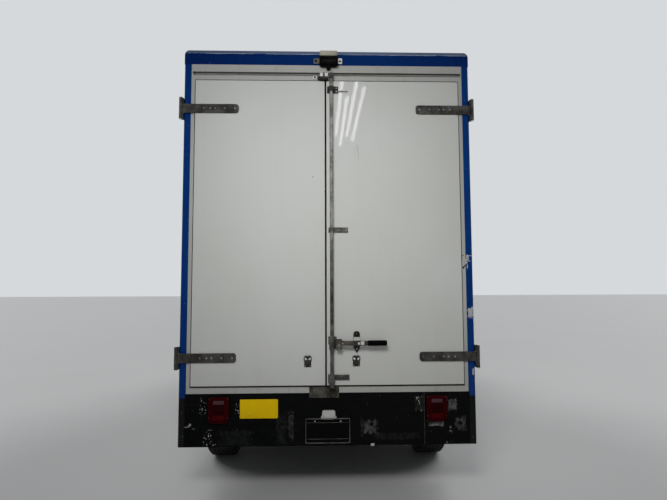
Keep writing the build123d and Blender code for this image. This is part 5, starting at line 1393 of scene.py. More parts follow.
    def catch(self, form: Form) -> None:
        """Adds the spring catch that holds the lever: rounded plate, bright step and a pointed foot."""
        z = self.handle_z
        form.plate((179, 225), (DOOR_Y - 10, DOOR_Y), (z + 10, z + 79), Y, 21, CATCH_STEEL, 3, foot=4)
        ramp = [(181, DOOR_Y - out, z + up) for out, up in ((8, 40), (34, 19), (34, 12), (8, 12))]
        form.slab(ramp, (42, 0, 0), BRIGHT_ZINC, 1)
        foot = ((180, 0), (180, 28), (190, 42), (199, 56), (205, 56), (214, 42), (224, 28), (224, 0))
        form.slab([(x, DOOR_Y, z - 12 - drop) for x, drop in foot], (0, -14, 0), CATCH_STEEL, 2)
        form.fit([((206, 222), (0, 62), (-10, 6), 3, BRIGHT_ZINC, 2)], DOOR_Y, z)
        form.studs([(202, DOOR_Y - 10, z + 60)], REARWARD, 6, 4, GALVANISED)
        form.studs([(202, DOOR_Y - 14, z - 44)], REARWARD, 5, 3, BRIGHT_ZINC)

    @staticmethod
    def hasp(form: Form, x: float, z: float, width: float, height: float) -> None:
        """Adds a padlock hasp: a plate below, a staple above and the tongue between.

        Args:
            form: The form that it joins.
            x: Its left edge.
            z: Its lower edge.
            width: Its width.
            height: Its height.
        """
        middle, joint = x + width / 2, height * 0.66
        form.fit((
            ((x, x + width), (0, 4), (0, height * 0.60), 4, DARK_CASTING, 1),
            (about(middle, 15), (0, 10), (10, height * 0.62), 8, DARK_CASTING, 2),
            (about(middle, 28), (0, 3), (joint - 18, joint + 22), 10, DARK_CASTING, 0),
        ), DOOR_Y, z)
        frame_z = (z + 3, z + height * 0.57)
        form.ring((x + 3, x + width - 3), (DOOR_Y - 6, DOOR_Y - 3), frame_z, Y, 3.5, DARK_CASTING, 1)
        wing = ((5, -8), (13, -11), (21, 0), (21, 13), (13, 9), (5, 0))
        for side in (-1, 1):
            outline = [(middle + side * across, DOOR_Y, z + joint + rise) for across, rise in wing]
            form.slab(outline, (0, -7, 0), BRIGHT_ZINC, 1.5)
            form.studs([(middle + side * 17, DOOR_Y - 4, z + 8)], REARWARD, 3.5, 2, BRIGHT_ZINC)
        staple = ((-12, 0, 26), (-9, 11, 18), (9, 11, 18), (12, 0, 26))
        line = [(middle + across, DOOR_Y - out, z + joint + rise) for across, out, rise in staple]
        form.tube(line, 3.5, DARK_CASTING, 8)

    def left_hasp(self) -> None:
        """Hasp on the left door."""
        form = Form()
        self.hasp(form, -170, DOOR_FOOT_Z + 132, 49, 84)
        form.piece("left_hasp", "rear_door_left", "plated_steel", ["door_hasp"])

    @staticmethod
    def keepers() -> None:
        """Keepers on the header and the sill, which the cams turn into."""
        form = Form()
        form.fit((
            ((-108, -78), (0, 6), (16, 44), 4, BRIGHT_ZINC, 1),
            ((-74, 5), (0, 8), (12, 34), 3, DARK_CASTING, 1),
            ((-57, -34), (0, 34), (24, 52), 4, BRIGHT_ZINC, 2),
            ((-22, 3), (0, 34), (24, 52), 4, BRIGHT_ZINC, 2),
            ((-66, 5), (0, 34), (5, 26), 5, DARK_CASTING, 3),
        ), FRAME_Y, DOOR_HEAD_Z)
        form.studs([(-94, FRAME_Y - 6, DOOR_HEAD_Z + 30)], REARWARD, 9, 2, SEAL_BLACK, 16)
        form.fit([((-135, 75), (0, 6), (-34, 41), 4, KEEPER_STEEL, 1)], FRAME_Y, SILL_Z)
        for x in ((-0.5, 4.5), (47.5, 52.5)):
            form.block(x, (FRAME_Y - 40, FRAME_Y), (SILL_Z + 4, SILL_Z + 38), KEEPER_STEEL, 1.5)
        bolts = [(x, FRAME_Y - 6, SILL_Z + z) for x in (-115, -60, 64) for z in (-20, 24)]
        form.studs(bolts, REARWARD, 7, 4, KEEPER_STEEL, 12)
        form.piece("rod_keepers", "chassis", "plated_steel", ["lock_keepers"])


@dataclass
class RearApron:
    """What the apron carries: two lamps, the number plate, its lamp, the sign and small scars."""

    lamp_width: float = 153
    lamp_corner: float = 20
    lamp_foot: float = 38
    plate_rim: float = 5.5

    def build(self) -> None:
        """Makes the apron's fittings."""
        self.lamps()
        self.number_plate()
        self.plate_lamp()
        self.sign()
        self.scars()

    def lamps(self) -> None:
        """Upright lamps: black base, red lens with a raised rim, a darker red middle as painted shade of the
        recess inside the rim, and a clear window near the top.
        """
        spans = box("tail_lamps")
        (low, high), right = spans.z, spans.x[1]
        left = right - self.lamp_width
        middle, corner, foot = (left + right) / 2, self.lamp_corner, self.lamp_foot
        form = Form()
        form.plate((left, right), (FRAME_Y - 12, FRAME_Y), (low, high), Y, corner, GLOSS_BLACK, 3, foot)
        form.plate(
            (left + 4, right - 4), (FRAME_Y - 28, FRAME_Y - 10), (low + 4, high - 4), Y, corner - 2,
            RED_LENS, 7, foot - 2,
        )
        form.ring(
            (left + 16, right - 16), (FRAME_Y - 34, FRAME_Y - 24), (low + 16, high - 16), Y, 6,
            RED_LENS, 1.5, 16,
        )
        form.fit((
            (about(middle, 38), (24, 32.5), (high - 52, high - 26), 5, WINDOW_LENS, 1.5),
            # Darker red middle: painted shade of the recess inside the rim
            (about(middle, 42), (24, 30), (low + 68, high - 58), 8, RECESS_SHADE_LENS, 1),
            (about(middle, 40), (24, 31), (low + 28, low + 62), 5, RED_TAPE, 1.5),
        ), FRAME_Y)
        screws = [(x, FRAME_Y - 28, z) for x in (left + 12, right - 12) for z in (low + 46, high - 14)]
        form.studs(screws, REARWARD, 3.2, 2, GALVANISED)
        form.mirror()
        form.piece("tail_lamp_lenses", "chassis", "red_lamp", ["tail_lamps"])

    def number_plate(self) -> None:
        """Blank plate in a bright frame."""
        form = Form()
        form.fit([((-159, 150), (0, 4), (20, 187), 5, GLOSS_BLACK, 0)], FRAME_Y, APRON_Z)
        height = (APRON_Z + 18, APRON_Z + 189)
        form.ring((-161, 152), (FRAME_Y - 10, FRAME_Y - 2), height, Y, self.plate_rim, PLATE_RIM, 2, 6)
        for z in (APRON_Z + 46, APRON_Z + 158):
            form.block((-149, 140), (FRAME_Y - 5, FRAME_Y - 3), (z, z + 2), PLATE_RIM)
        form.studs([(x, FRAME_Y - 4, APRON_Z + 169) for x in (-95, 86)], REARWARD, 6, 3, BRIGHT_ZINC)
        form.piece("number_plate", "chassis", "sign_face")

    @staticmethod
    def plate_lamp() -> None:
        """Pale housing over the plate, its window facing down."""
        form = Form()
        form.fit((
            ((-45, 49), (0, 34), (196, 247), 16, LAMP_WHITE, 8),
            ((-52, 56), (0, 20), (190, 206), 6, LAMP_WHITE, 3),
            ((-34, 38), (0, 30), (186, 200), 4, CLEAR_LENS, 2),
        ), FRAME_Y, APRON_Z)
        form.piece("plate_lamp", "chassis", "sign_face", ["sign_plates"])

    @staticmethod
    def sign() -> None:
        """Blank yellow sign with a pressed edge."""
        form = Form()
        form.fit([((-620, -354), (0, 3), (192, 323), 7, SIGN_YELLOW, 0.8)], FRAME_Y, APRON_Z)
        rim_y, rim_z = (FRAME_Y - 3.6, FRAME_Y - 2), (APRON_Z + 196, APRON_Z + 319)
        form.ring((-616, -358), rim_y, rim_z, Y, 2, SIGN_YELLOW, 0.3, 5)
        form.piece("warning_sign", "chassis", "sign_face")

    @staticmethod
    def scars() -> None:
        """Plugged holes with their collars, the drain lug under the edge and the seam's rivets."""
        form = Form()
        for x, z in ((-325, 512), (304, 505), (935, 505)):
            form.rod((x, FRAME_Y + 2, z), (x, FRAME_Y - 3, z), 13, SEAL_BLACK, 20, 1)
            form.studs([(x, FRAME_Y - 3, z)], REARWARD, 7, 2, GLOSS_BLACK, 12, 0.7)
        form.plate((297, 323), (FRAME_Y - 2, FRAME_Y + 12), (354, 372), Y, 4, LAMP_WHITE, 2)
        form.studs([(679, FRAME_Y, z) for z in range(400, 701, 60)], REARWARD, 3.5, 1.5, GLOSS_BLACK)
        form.piece("apron_fittings", "chassis", "black_panel")


@dataclass
class CameraUnit:
    """Camera unit on the header: pale cap, dark hood, lens knob and side tabs."""

    knob: Point = (6, FRAME_Y - 20, ROOF_Z - 116)
    knob_way: Point = (0, -0.25, -1)
    dots: int = 6
    dot_pitch: float = 16.5

    def build(self) -> None:
        """Makes the unit."""
        form = Form()
        form.fit((
            ((-59, 76), (0, 44), (-116, -50), 10, GLOSS_BLACK, 3),
            ((-57, 70), (0, 52), (-52, -14), 8, CAMERA_CAP, 3),
            ((-50, 62), (0, 34), (-122, -110), 5, GLOSS_BLACK, 2),
        ), FRAME_Y, ROOF_Z, X)
        for index in range(self.dots):
            x, z = index * self.dot_pitch - 30, ROOF_Z - 88
            form.rod((x, FRAME_Y - 43.5, z), (x, FRAME_Y - 46, z), 4.5, BLACK_PLASTIC, 12, 0.6)
        turned = ((0, 0), (0, 17), (12, 18), (27, 15), (33, 11), (31, 0))
        form.lathe(turned, self.knob, self.knob_way, GLOSS_BLACK, 24)
        tip = Vector(self.knob) + Vector(self.knob_way).normalized() * 31.5
        form.studs([tip], self.knob_way, 8, 2, LAMP_CLEAR, 16, 0.7)
        for x, screw, finish in (((-104, -58), -84, GALVANISED), ((77, 108), 93, BRIGHT_ZINC)):
            form.fit([(x, (0, 10), (-97, -54), 5, finish, 2)], FRAME_Y, ROOF_Z)
            form.studs([(screw, FRAME_Y - 10, ROOF_Z - 78)], REARWARD, 10, 3, SEAL_BLACK, 12)
        form.piece("camera_unit", "chassis", "camera_plastic", ["rear_camera"])


@dataclass
class BoxBody:
    """What the box carries outside and in: rivets, markers, arch trims, bows, slats and lights."""

    rivet_pitch: float = 105
    rivet_radius: float = 4.2
    rivet_height: float = 2
    skirt_z: float = 735
    arch_radius: float = 440
    arch_steps: int = 40
    inner_wall: float = 1008

    def build(self) -> None:
        """Makes the box's fittings."""
        self.rivets()
        self.markers()
        self.arch_trims()
        self.lining()
        self.roof_bows()

    def spread(self, start: float, end: float) -> list[float]:
        """Even places from start to end, about a rivet pitch apart."""
        count = max(2, round((end - start) / self.rivet_pitch))
        return [start + (end - start) * index / count for index in range(count + 1)]

    def rivets(self) -> None:
        """Rivet rows along the rails and posts of the sides, the front and the header."""
        spans, arch = box("corner_posts"), box("rear_wheel_right")
        side, (rear, front), top, low = spans.x[1], spans.y, box("edge_rails").z[1], self.skirt_z
        spots = [(side, y, z) for z in (top - 66, top - 18) for y in self.spread(rear + 20, front - 20)]
        skirt = self.spread(rear + 110, front - 110)
        spots += [(side, y, low) for y in skirt if math.hypot(y - mid(arch.y), low - mid(arch.z)) > 470]
        spots += [(side, y, z) for y in (rear + 70, front - 70) for z in self.spread(800, top - 120)]
        form = Form()
        form.studs(spots, RIGHTWARD, self.rivet_radius, self.rivet_height, RAIL_BLUE_SHADED, 8)
        form.mirror()
        header = [(x, rear, top - 12) for x in self.spread(60 - side, side - 60)]
        form.studs(header, REARWARD, 3, 1.2, RAIL_BLUE_SHADED, 8)
        nose = [(x, front, z) for x in self.spread(50 - side, side - 50) for z in (low, top - 40)]
        form.studs(nose, AHEAD, self.rivet_radius, self.rivet_height, RAIL_BLUE_SHADED, 8)
        form.piece("body_rivets", "chassis", "blue_paint")

    def markers(self) -> None:
        """Small oval marker lamps: amber ahead and along the sides, red at the rear."""
        side, front, top = box("corner_posts").x[1], box("corner_posts").y[1], box("edge_rails").z[1]
        form = Form()
        for y, z, finish in (
            (front - 350, self.skirt_z, AMBER_LENS), (-1150, self.skirt_z, AMBER_LENS),
            (-2600, self.skirt_z, RED_LENS), (front - 120, top - 42, AMBER_LENS), (-2660, top - 42, RED_LENS),
        ):
            form.plate((side, side + 6), about(y, 36), about(z, 17), X, 15, BLACK_PLASTIC, 2)
            form.plate((side + 4, side + 16), about(y, 31), about(z, 12), X, 11, finish, 4)
        form.mirror()
        for x in (-900, -200, 0, 200, 900):
            form.plate(about(x, 36), (front, front + 6), (top - 60, top - 26), Y, 15, BLACK_PLASTIC, 2)
            form.plate(about(x, 31), (front + 4, front + 16), (top - 55, top - 31), Y, 11, AMBER_LENS, 4)
        form.piece("marker_lamps", "chassis", "red_lamp")

    def arch_trims(self) -> None:
        """Rubber lip round each rear wheel arch."""
        wheel, x, radius = box("rear_wheel_right"), box("corner_posts").x[1] - 4, self.arch_radius
        start = math.asin((APRON_Z - mid(wheel.z)) / radius)
        line = []
        for index in range(self.arch_steps + 1):
            turn = start + (math.pi - 2 * start) * index / self.arch_steps
            line.append((x, mid(wheel.y) + radius * math.cos(turn), mid(wheel.z) + radius * math.sin(turn)))
        form = Form()
        form.tube(line, 9, SEAL_BLACK, 8)
        form.mirror()
        form.piece("arch_trims", "chassis", "black_panel")

    def lining(self) -> None:
        """Board lining low on the walls and three slats above it."""
        wall, front = self.inner_wall, box("box_walls").y[1] - 36
        form = Form()
        for z, depth in (((868, 1100), 6), ((1420, 1520), 18), ((1950, 2050), 18), ((2500, 2600), 18)):
            form.block((wall - depth, wall + 1), (-2700, front - 20), z, LINING_BOARD, 2)
            bolts = [(wall - depth, y, mid(z)) for y in range(-2620, 21, 440)]
            form.studs(bolts, LEFTWARD, 7, 2, BRIGHT_ZINC, 8)
        form.mirror()
        form.block((-980, 980), (front - 12, front + 1), (780, 1980), LINING_BOARD, 2)
        form.piece("box_lining", "chassis", "floor_board")

    @staticmethod
    def roof_bows() -> None:
        """Hat-section bows under the roof sheet and a lamp between the last two."""
        under = box("box_roof").z[0]
        form = Form()
        for y in range(-2450, -49, 480):
            form.plate((-1006, 1006), about(y, 24), (under - 30, under), X, 6, ALUMINIUM)
            form.block((-1006, 1006), about(y, 45), (under - 4, under), ALUMINIUM, 1)
        form.plate((-200, 200), (-2280, -2160), (under - 28, under), Z, 20, LAMP_WHITE, 6)
        form.plate((-185, 185), (-2265, -2175), (under - 34, under - 20), Z, 15, CLEAR_LENS, 5)
        form.piece("roof_bows", "chassis", "roof_sheet")


@dataclass
class Wheel:
    """A wheel's nuts, cap and valve, and its tyre with tread blocks."""

    end: str
    side: Side
    nuts: int = 8
    nut_ring: float = 92
    lugs: int = 64
    tread_base: float = 378.5
    tread_top: float = 387
    # How deep the blocks start inside the carcass
    sunk: float = 2
    # Inner and outer edge of each rib of blocks, off the tyre's middle
    ribs: tuple[Span, ...] = ((-11, 11), (17, 46), (52, 94))
    # Half of the tyre's section outside, and its inside: distance off the middle and radius
    section: tuple[Span, ...] = (
        (95.5, 205.2), (98.5, 216), (108, 226), (112, 230), (111.5, 234), (118, 252), (122.5, 276),
        (124, 296), (122.8, 300), (123.6, 304), (122.5, 324), (119, 342), (120.5, 346), (115, 360),
        (106, 372), (98, 378.5),
    )
    inside: tuple[Span, ...] = ((90, 205.2), (100, 250), (100, 330), (80, 360))
    # How the blocks slant, lean down at the shoulder, and fill their pitch on the middle and outer ribs
    slant: float = 0.25
    shoulder: Span = (80, 4.5)
    fill: Span = (0.90, 0.84)

    @property
    def body(self) -> str:
        """Name of the wheel's body."""
        return f"{self.end}_wheel_{self.side.word}"

    @property
    def centre(self) -> Vector:
        """Middle of the wheel, from its tyre's box."""
        return Vector([mid(span) for span in box(f"{self.end}_tyre_{self.side.word}")])

    @property
    def out(self) -> Vector:
        """The way to the wheel's outer side."""
        return Vector((self.side.value, 0, 0))

    def build(self) -> None:
        """Makes the fittings and the tyre."""
        self.fittings()
        self.tyre()

    def fittings(self) -> None:
        """Wheel nuts on their studs, the hub cap and the valve."""
        centre, out = self.centre, self.out
        turns = [2 * math.pi * (index + 0.5) / self.nuts for index in range(self.nuts)]
        ring = [centre + Vector((0, math.cos(turn), math.sin(turn))) * self.nut_ring for turn in turns]
        form = Form()
        # Distance out, radius, height, finish, sides and taper
        for reach, *head in (
            (41, 12.5, 4, BRIGHT_ZINC, 16, 0.95), (44, 10.5, 16, BRIGHT_ZINC, 6, 0.9),
            (59, 6, 8, STAINLESS, 10, 0.9),
        ):
            form.studs([spot + out * reach for spot in ring], out, *head)
        form.lathe(((70, 0), (70, 40), (74, 38), (80, 26), (82, 0)), centre, out, BLACK_PLASTIC, 28)
        stem = centre + out * 62 + Vector((0, 0, 176))
        form.rod(stem - out * 20, stem + out * 22, 4.5, SEAL_BLACK, 10, 1)
        form.piece(f"{self.body}_fittings", self.body, "wheel_steel")

    def tyre(self) -> None:
        """Tyre carcass turned from its section, with rows of tread blocks round it."""
        rows = [*self.section, *((-reach, radius) for reach, radius in reversed(self.section))]
        rows += [(-reach, radius) for reach, radius in self.inside]
        form = Form()
        form.lathe([*rows, *reversed(self.inside)], self.centre, self.out, TYRE_RUBBER, 72, closed=True)
        for index, rib in enumerate((*self.ribs, *((-high, -low) for low, high in self.ribs[1:]))):
            self.tread(form, index, rib)
        tyre = f"{self.end}_tyre_{self.side.word}"
        form.piece(f"{self.end}_tread_{self.side.word}", self.body, "tyre", [tyre])

    def tread(self, form: Form, index: int, rib: Span) -> None:
        """Adds one rib of the tread, a block turned round the tyre.

        Args:
            form: The form that it joins.
            index: The rib's number.
            rib: Its span off the tyre's middle.
        """
        pitch = 2 * math.pi / self.lugs
        length = pitch * self.tread_top * self.fill[index > 0]
        part = bmesh.new()
        low = self.tread_base - self.sunk
        size = Matrix.Diagonal((rib[1] - rib[0], length, self.tread_top - low, 1.0))
        middle = (low + self.tread_top) / 2
        bmesh.ops.create_cube(part, size=1.0, matrix=Matrix.Translation((mid(rib), 0, middle)) @ size)
        edge, drop = self.shoulder
        for vert in part.verts:
            vert.co.y += vert.co.x * self.slant * (1 if index % 2 else -1)
            if abs(sum(rib)) > 100 and vert.co.z > middle and vert.co.x * math.copysign(1, sum(rib)) > edge:
                vert.co.z -= drop
        turn = Matrix.Rotation(pitch * index * 0.5, 3, "X")
        bmesh.ops.rotate(part, cent=(0, 0, 0), verts=part.verts[:], matrix=turn)
        bmesh.ops.spin(
            part, geom=part.verts[:] + part.edges[:] + part.faces[:], cent=(0, 0, 0), axis=RIGHTWARD,
            angle=2 * math.pi - pitch, steps=self.lugs - 1, use_merge=False, use_duplicate=True,
        )
        form.add(part, TYRE_RUBBER, (Matrix.Translation(metres(self.centre)) @ Matrix.Scale(MM, 4),))


def skin(node: str, keep: Callable[[bmesh.types.BMFace], bool]) -> bmesh.types.BMesh:
    """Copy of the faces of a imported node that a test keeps.

    Args:
        node: The node's name.
        keep: The test of a face.

    Returns:
        The faces, merged, as an open sheet in metres.
    """
    part = bmesh.new()
    part.from_mesh(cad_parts[node].data)
    bmesh.ops.remove_doubles(part, verts=part.verts[:], dist=1e-5)
    part.normal_update()
    bmesh.ops.delete(part, geom=[face for face in part.faces if not keep(face)], context="FACES")
    return part


def outline_of(node: str, facing: Point) -> list[Vector]:
    """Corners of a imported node's largest flat face that looks a given way, in order, in millimetres."""
    way = Vector(facing).normalized()
    part = skin(node, lambda face: face.normal.dot(way) > 0.95)
    bmesh.ops.dissolve_limit(part, angle_limit=math.radians(2.0), verts=part.verts[:], edges=part.edges[:])
    face = max(part.faces, key=lambda item: item.calc_area())
    corners = [vert.co / MM for vert in face.verts]
    part.free()
    return corners


def touch(node: str, start: Point, way: Point) -> Vector:
    """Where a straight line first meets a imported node.

    Args:
        node: The node's name.
        start: Where the line starts, in millimetres.
        way: The way that it goes.

    Returns:
        The point on the node, in millimetres.
    """
    part = skin(node, lambda face: True)
    spot = BVHTree.FromBMesh(part).ray_cast(metres(start), Vector(way))[0]
    part.free()
    return spot / MM


def walled(part: bmesh.types.BMesh, thickness: float) -> bmesh.types.BMesh:
    """Gives an open sheet a thickness in millimetres behind it, with closed rims."""
    part.normal_update()
    bmesh.ops.solidify(part, geom=part.verts[:] + part.edges[:] + part.faces[:], thickness=thickness * MM)
    return part


@dataclass
class Cab:
    """What the cab carries outside."""

    half_width: float = 995
    seal_radius: float = 7
    screen_foot: Point = (0, 1900, 1330)
    screen_up: Point = (0, -0.656, 0.755)
    screen_out: Point = (0, 0.755, 0.656)
    plate_half: float = 156

    def build(self) -> None:
        """Makes the cab's fittings."""
        self.screen_seal()
        self.wipers()
        for side in Side:
            self.door_fittings(side)
        self.steps()
        self.headlamps()
        self.grille_mesh()
        self.bumper()
        self.bonnet_fittings()
        self.roof_lamps()
        self.flaps()

    def on_screen(self, x: float, up: float, out: float) -> Vector:
        """Point near the windscreen: X, distance up its slope and distance off it."""
        spot = Vector(self.screen_foot) + Vector(self.screen_up) * up + Vector(self.screen_out) * out
        spot.x = x
        return spot

    def screen_seal(self) -> None:
        """Rubber seal round the windscreen."""
        form = Form()
        form.tube(outline_of("windscreen", self.screen_out), self.seal_radius, SEAL_BLACK, 8, closed=True)
        form.piece("windscreen_seal", "chassis", "trim_plastic")

    def wipers(self) -> None:
        """Cowl panel with louvres, and two wipers parked on the screen."""
        at, lift = self.on_screen, Vector(self.screen_out) * 2
        form = Form()
        cowl = [at(x, up, -4) for x, up in ((-700, 8), (700, 8), (660, 60), (-660, 60))]
        form.slab(cowl, Vector(self.screen_out) * 9, BLACK_PLASTIC, 2)
        for x in range(-600, 598, 57):
            form.tube([at(x, 18, 5), at(x, 48, 5)], 3, GLOSS_BLACK, 6)
        for x, reach in ((-600, 440), (120, 460)):
            form.rod(at(x, 34, 4), at(x, 34, 20), 14, BLACK_PLASTIC, 16, 3)
            middle = at(x + reach, 150, 30)
            start, end = at(x + reach - 250, 100, 10), at(x + reach + 200, 182, 10)
            form.tube([at(x, 34, 18), at(x + reach * 0.3, 66, 32), middle], 5.5, BLACK_PLASTIC, 8)
            form.tube([start, end], 4.5, SEAL_BLACK, 6)
            frame_line = [start, start.lerp(middle, 0.5) + lift, middle, end.lerp(middle, 0.5) + lift, end]
            form.tube(frame_line, 3.5, BLACK_PLASTIC, 6)
        form.piece("wipers", "chassis", "trim_plastic")

    @staticmethod
    def side_plates(form: Form, side: Side, face: float, rows: Iterable[tuple]) -> None:
        """Adds plates to an upright face along the truck.

        Args:
            form: The form that they join.
            side: The truck's side.
            face: Distance of the face from the truck's middle.
            rows: Each plate's span out from the face, span of Y, span of Z, corner, finish and rim radius.
        """
        for out, y, z, corner, finish, edge in rows:
            form.plate([side.value * (face + step) for step in out], y, z, X, corner, finish, edge)

    def door_fittings(self, side: Side) -> None:
        """A cab door's seal, handle, lock, rubbing strip, mirror glass and inner trim."""
        sign, body, face = side.value, f"cab_door_{side.word}", self.half_width
        form = Form()
        glass = outline_of(f"door_glass_{side.word}", (sign, 0.0, 0.25))
        form.tube(glass, self.seal_radius, SEAL_BLACK, 8, closed=True)
        self.side_plates(form, side, face, (
            ((-2, 4), (615, 805), (1200, 1275), 16, BLACK_PLASTIC, 2),
            ((16, 32), (640, 780), (1236, 1262), 8, BLACK_PLASTIC, 5),
            ((-4, 14), (560, 1545), (770, 815), 10, BLACK_PLASTIC, 6),
        ))
        # Y, Z, height, radius, finish, sides and rim radius
        for y, z, reach, *bar in (
            (655, 1249, 22, 10, BLACK_PLASTIC, 12, 2), (765, 1249, 22, 10, BLACK_PLASTIC, 12, 2),
            (640, 1170, 5, 12, STAINLESS, 18, 1),
        ):
            form.rod((face * sign, y, z), ((face + reach) * sign, y, z), *bar)
        form.piece(f"cab_door_fittings_{side.word}", body, "trim_plastic")
        self.mirror_glass(side, body)
        self.door_card(side, body)
        trim = Form()
        self.side_plates(trim, side, face, [((-4, 14), (225, 525), (770, 815), 10, BLACK_PLASTIC, 6)])
        trim.piece(f"cab_strip_{side.word}", "chassis", "trim_plastic")

    @staticmethod
    def mirror_glass(side: Side, body: str) -> None:
        """Main glass and a wide-angle glass in the mirror's rear face."""
        spans = box(f"mirror_{side.word}")
        rear, outer = spans.y[0], max(spans.x, key=abs)
        left, right = sorted((outer - side.value * 14, outer - side.value * 176))
        form = Form()
        for low, high in ((1455, 1624), (1350, 1443)):
            rim = (left - 4, right + 4), (rear - 3, rear + 4), (low - 4, high + 4)
            form.plate(*rim, Y, 18, BLACK_PLASTIC, 2)
            form.plate((left, right), (rear - 4.5, rear), (low, high), Y, 15, MIRROR_SILVER, 0.8)
        form.piece(f"mirror_glass_{side.word}", body, "trim_plastic")

    def door_card(self, side: Side, body: str) -> None:
        """Inner trim of a cab door: panel, armrest, pocket, handle and winder."""
        sign = side.value
        form = Form()
        self.side_plates(form, side, 962, (
            ((-12, 0), (600, 1500), (500, 1305), 40, PALE_TRIM, 4),
            ((-55, -12), (700, 1250), (985, 1040), 20, TRIM_PLASTIC, 10),
            ((-35, -12), (760, 1440), (545, 720), 30, TRIM_PLASTIC, 6),
            ((-22, -12), (1260, 1400), (1080, 1130), 12, BLACK_PLASTIC, 3),
            ((-32, -22), (1275, 1375), (1095, 1116), 8, STAINLESS, 3),
        ))
        form.rod((sign * 950, 1180, 900), (sign * 922, 1180, 900), 20, TRIM_PLASTIC, 18, 3)
        form.tube([(sign * 926, 1180, 900), (sign * 918, 1110, 876)], 7, TRIM_PLASTIC, 8)
        form.rod((sign * 922, 1108, 875), (sign * 890, 1108, 875), 12, BLACK_PLASTIC, 14, 3)
        form.piece(f"door_card_{side.word}", body, "trim_plastic")

    @staticmethod
    def steps() -> None:
        """Tread plates under the cab doors, their brackets, and the fuel filler."""
        form = Form()
        form.plate((880, 1010), (780, 1320), (372, 392), Z, 20, BLACK_PLASTIC, 4)
        for y in range(820, 1285, 58):
            form.block((895, 1000), (y, y + 18), (391, 395), BLACK_PLASTIC, 1.5)
        for y in (860, 1240):
            form.block((900, 930), about(y, 20), (385, 430), CHASSIS_BLACK, 3)
        form.mirror()
        cap = ((0, 0), (0, 52), (4, 50), (4, 40), (16, 38), (20, 32), (20, 0))
        form.lathe(cap, (-1050, -360, 585), LEFTWARD, BLACK_PLASTIC, 28)
        form.block((-1074, -1066), (-366, -354), (556, 614), BLACK_PLASTIC, 3)
        form.piece("steps_and_filler", "chassis", "trim_plastic")

    @staticmethod
    def headlamps() -> None:
        """Clear lens over a dark housing with two bowls, and an amber lamp at the corner."""
        form = Form()
        lens = skin("headlamps", lambda face: face.normal.y > 0.30 and face.calc_center_median().x > 0.0)
        shift(lens, lens.verts, (0, -4, 0))
        housing = lens.copy()
        shift(housing, housing.verts, (0, -52, 0))
        rims = [edge for edge in housing.edges if edge.is_boundary]
        shift(housing, bmesh.ops.extrude_edge_only(housing, edges=rims)["geom"], (0, 51, 0))
        form.add(walled(housing, 2), GLOSS_BLACK)
        form.add(walled(lens, 3), LAMP_CLEAR)
        bulb = ((0, 0), (2, 9), (22, 9), (28, 5), (30, 0))
        for x, z, radius in ((684, 905, 60), (800, 905, 50)):
            back = touch("headlamps", (x, 3200, z), REARWARD).y - 50
            shares = ((3, 0.35), (12, 0.68), (30, 0.93), (38, 1), (36, 1.05), (6, 0.9))
            bowl = [(0, 4), *((reach, radius * share) for reach, share in shares), (-2, 4)]
            form.lathe(bowl, (x, back, z), AHEAD, LAMP_BOWL, 32, closed=True)
            form.lathe(bulb, (x, back, z), AHEAD, LAMP_CLEAR, 16)
        corner = touch("headlamps", (862, 3200, 900), REARWARD).y
        form.plate((846, 880), (corner - 50, corner - 12), (815, 985), Y, 6, AMBER_LENS, 3)
        form.plate((625, 835), (2742, 2768), (812, 832), Y, 6, AMBER_LENS, 3)
        form.mirror()
        form.piece("headlamp_units", "chassis", "lamp_glass", ["headlamps"])

    @staticmethod
    def grille_mesh() -> None:
        """Fine bars, and a black sheet behind the grille's slats as painted shade of the opening."""
        (left, right), (rear, front), (low, high) = box("grille")
        back = rear + 10
        form = Form()
        # Black sheet: painted shade behind the slats
        form.block((-545, 545), (back - 6, back), (715, 995), GLOSS_BLACK)
        for x in range(-510, 511, 30):
            form.block(about(x, 2), (back, back + 12), (716, 994), BLACK_PLASTIC)
        form.ring((left + 4, right - 4), about(front, 4), (low + 6, high - 6), Y, 30, STAINLESS, 2, 12)
        form.piece("grille_mesh", "chassis", "trim_plastic")

    def bumper(self) -> None:
        """Lower air slots filled with black as painted shade, fog lamps and a blank plate on the front
        bumper.
        """
        front = box("front_bumper").y[1]
        form = Form()
        for z in (455, 487):
            form.ring((-440, 440), (front - 6, front + 4), (z, z + 26), Y, 4, BUMPER_PLASTIC, 1.5, 8)
            # Black fill of the slot: painted shade of its opening
            form.block((-437, 437), (front - 4, front + 1), (z + 3, z + 23), GLOSS_BLACK)
        form.plate(about(0, self.plate_half), (front - 2, front + 5), (530, 622), Y, 8, BLACK_PLASTIC, 2)
        form.plate(about(0, self.plate_half - 6), (front, front + 8), (535, 617), Y, 6, LAMP_WHITE, 1)
        rim = ((0, 0), (0, 52), (7, 50), (8, 43), (2, 41), (2, 0))
        lens = ((0, 0), (0, 40), (4, 38), (8, 22), (9, 0))
        for x in (-660, 660):
            form.lathe(rim, (x, front, 500), AHEAD, BLACK_PLASTIC, 32)
            form.lathe(lens, (x, front + 1, 500), AHEAD, CLEAR_LENS, 28)
        form.piece("bumper_fittings", "chassis", "bumper_plastic")

    @staticmethod
    def bonnet_fittings() -> None:
        """Washer jets on the bonnet, and the pad under it."""
        form = Form()
        for side in (-260, 260):
            x, y, z = touch("bonnet", (side, 2020, 2000), DOWNWARD)
            form.block(about(x, 12), about(y, 16), (z - 2, z + 8), BLACK_PLASTIC, 4)
        pad = skin("bonnet", lambda face: face.normal.z < -0.6 and abs(face.calc_center_median().x) < 0.75)
        bmesh.ops.scale(pad, vec=(0.90, 1.0, 1.0), verts=pad.verts[:])
        shift(pad, pad.verts, (0, 0, -4))
        form.add(walled(pad, 6), SEAL_BLACK)
        form.piece("bonnet_fittings", "bonnet", "trim_plastic")

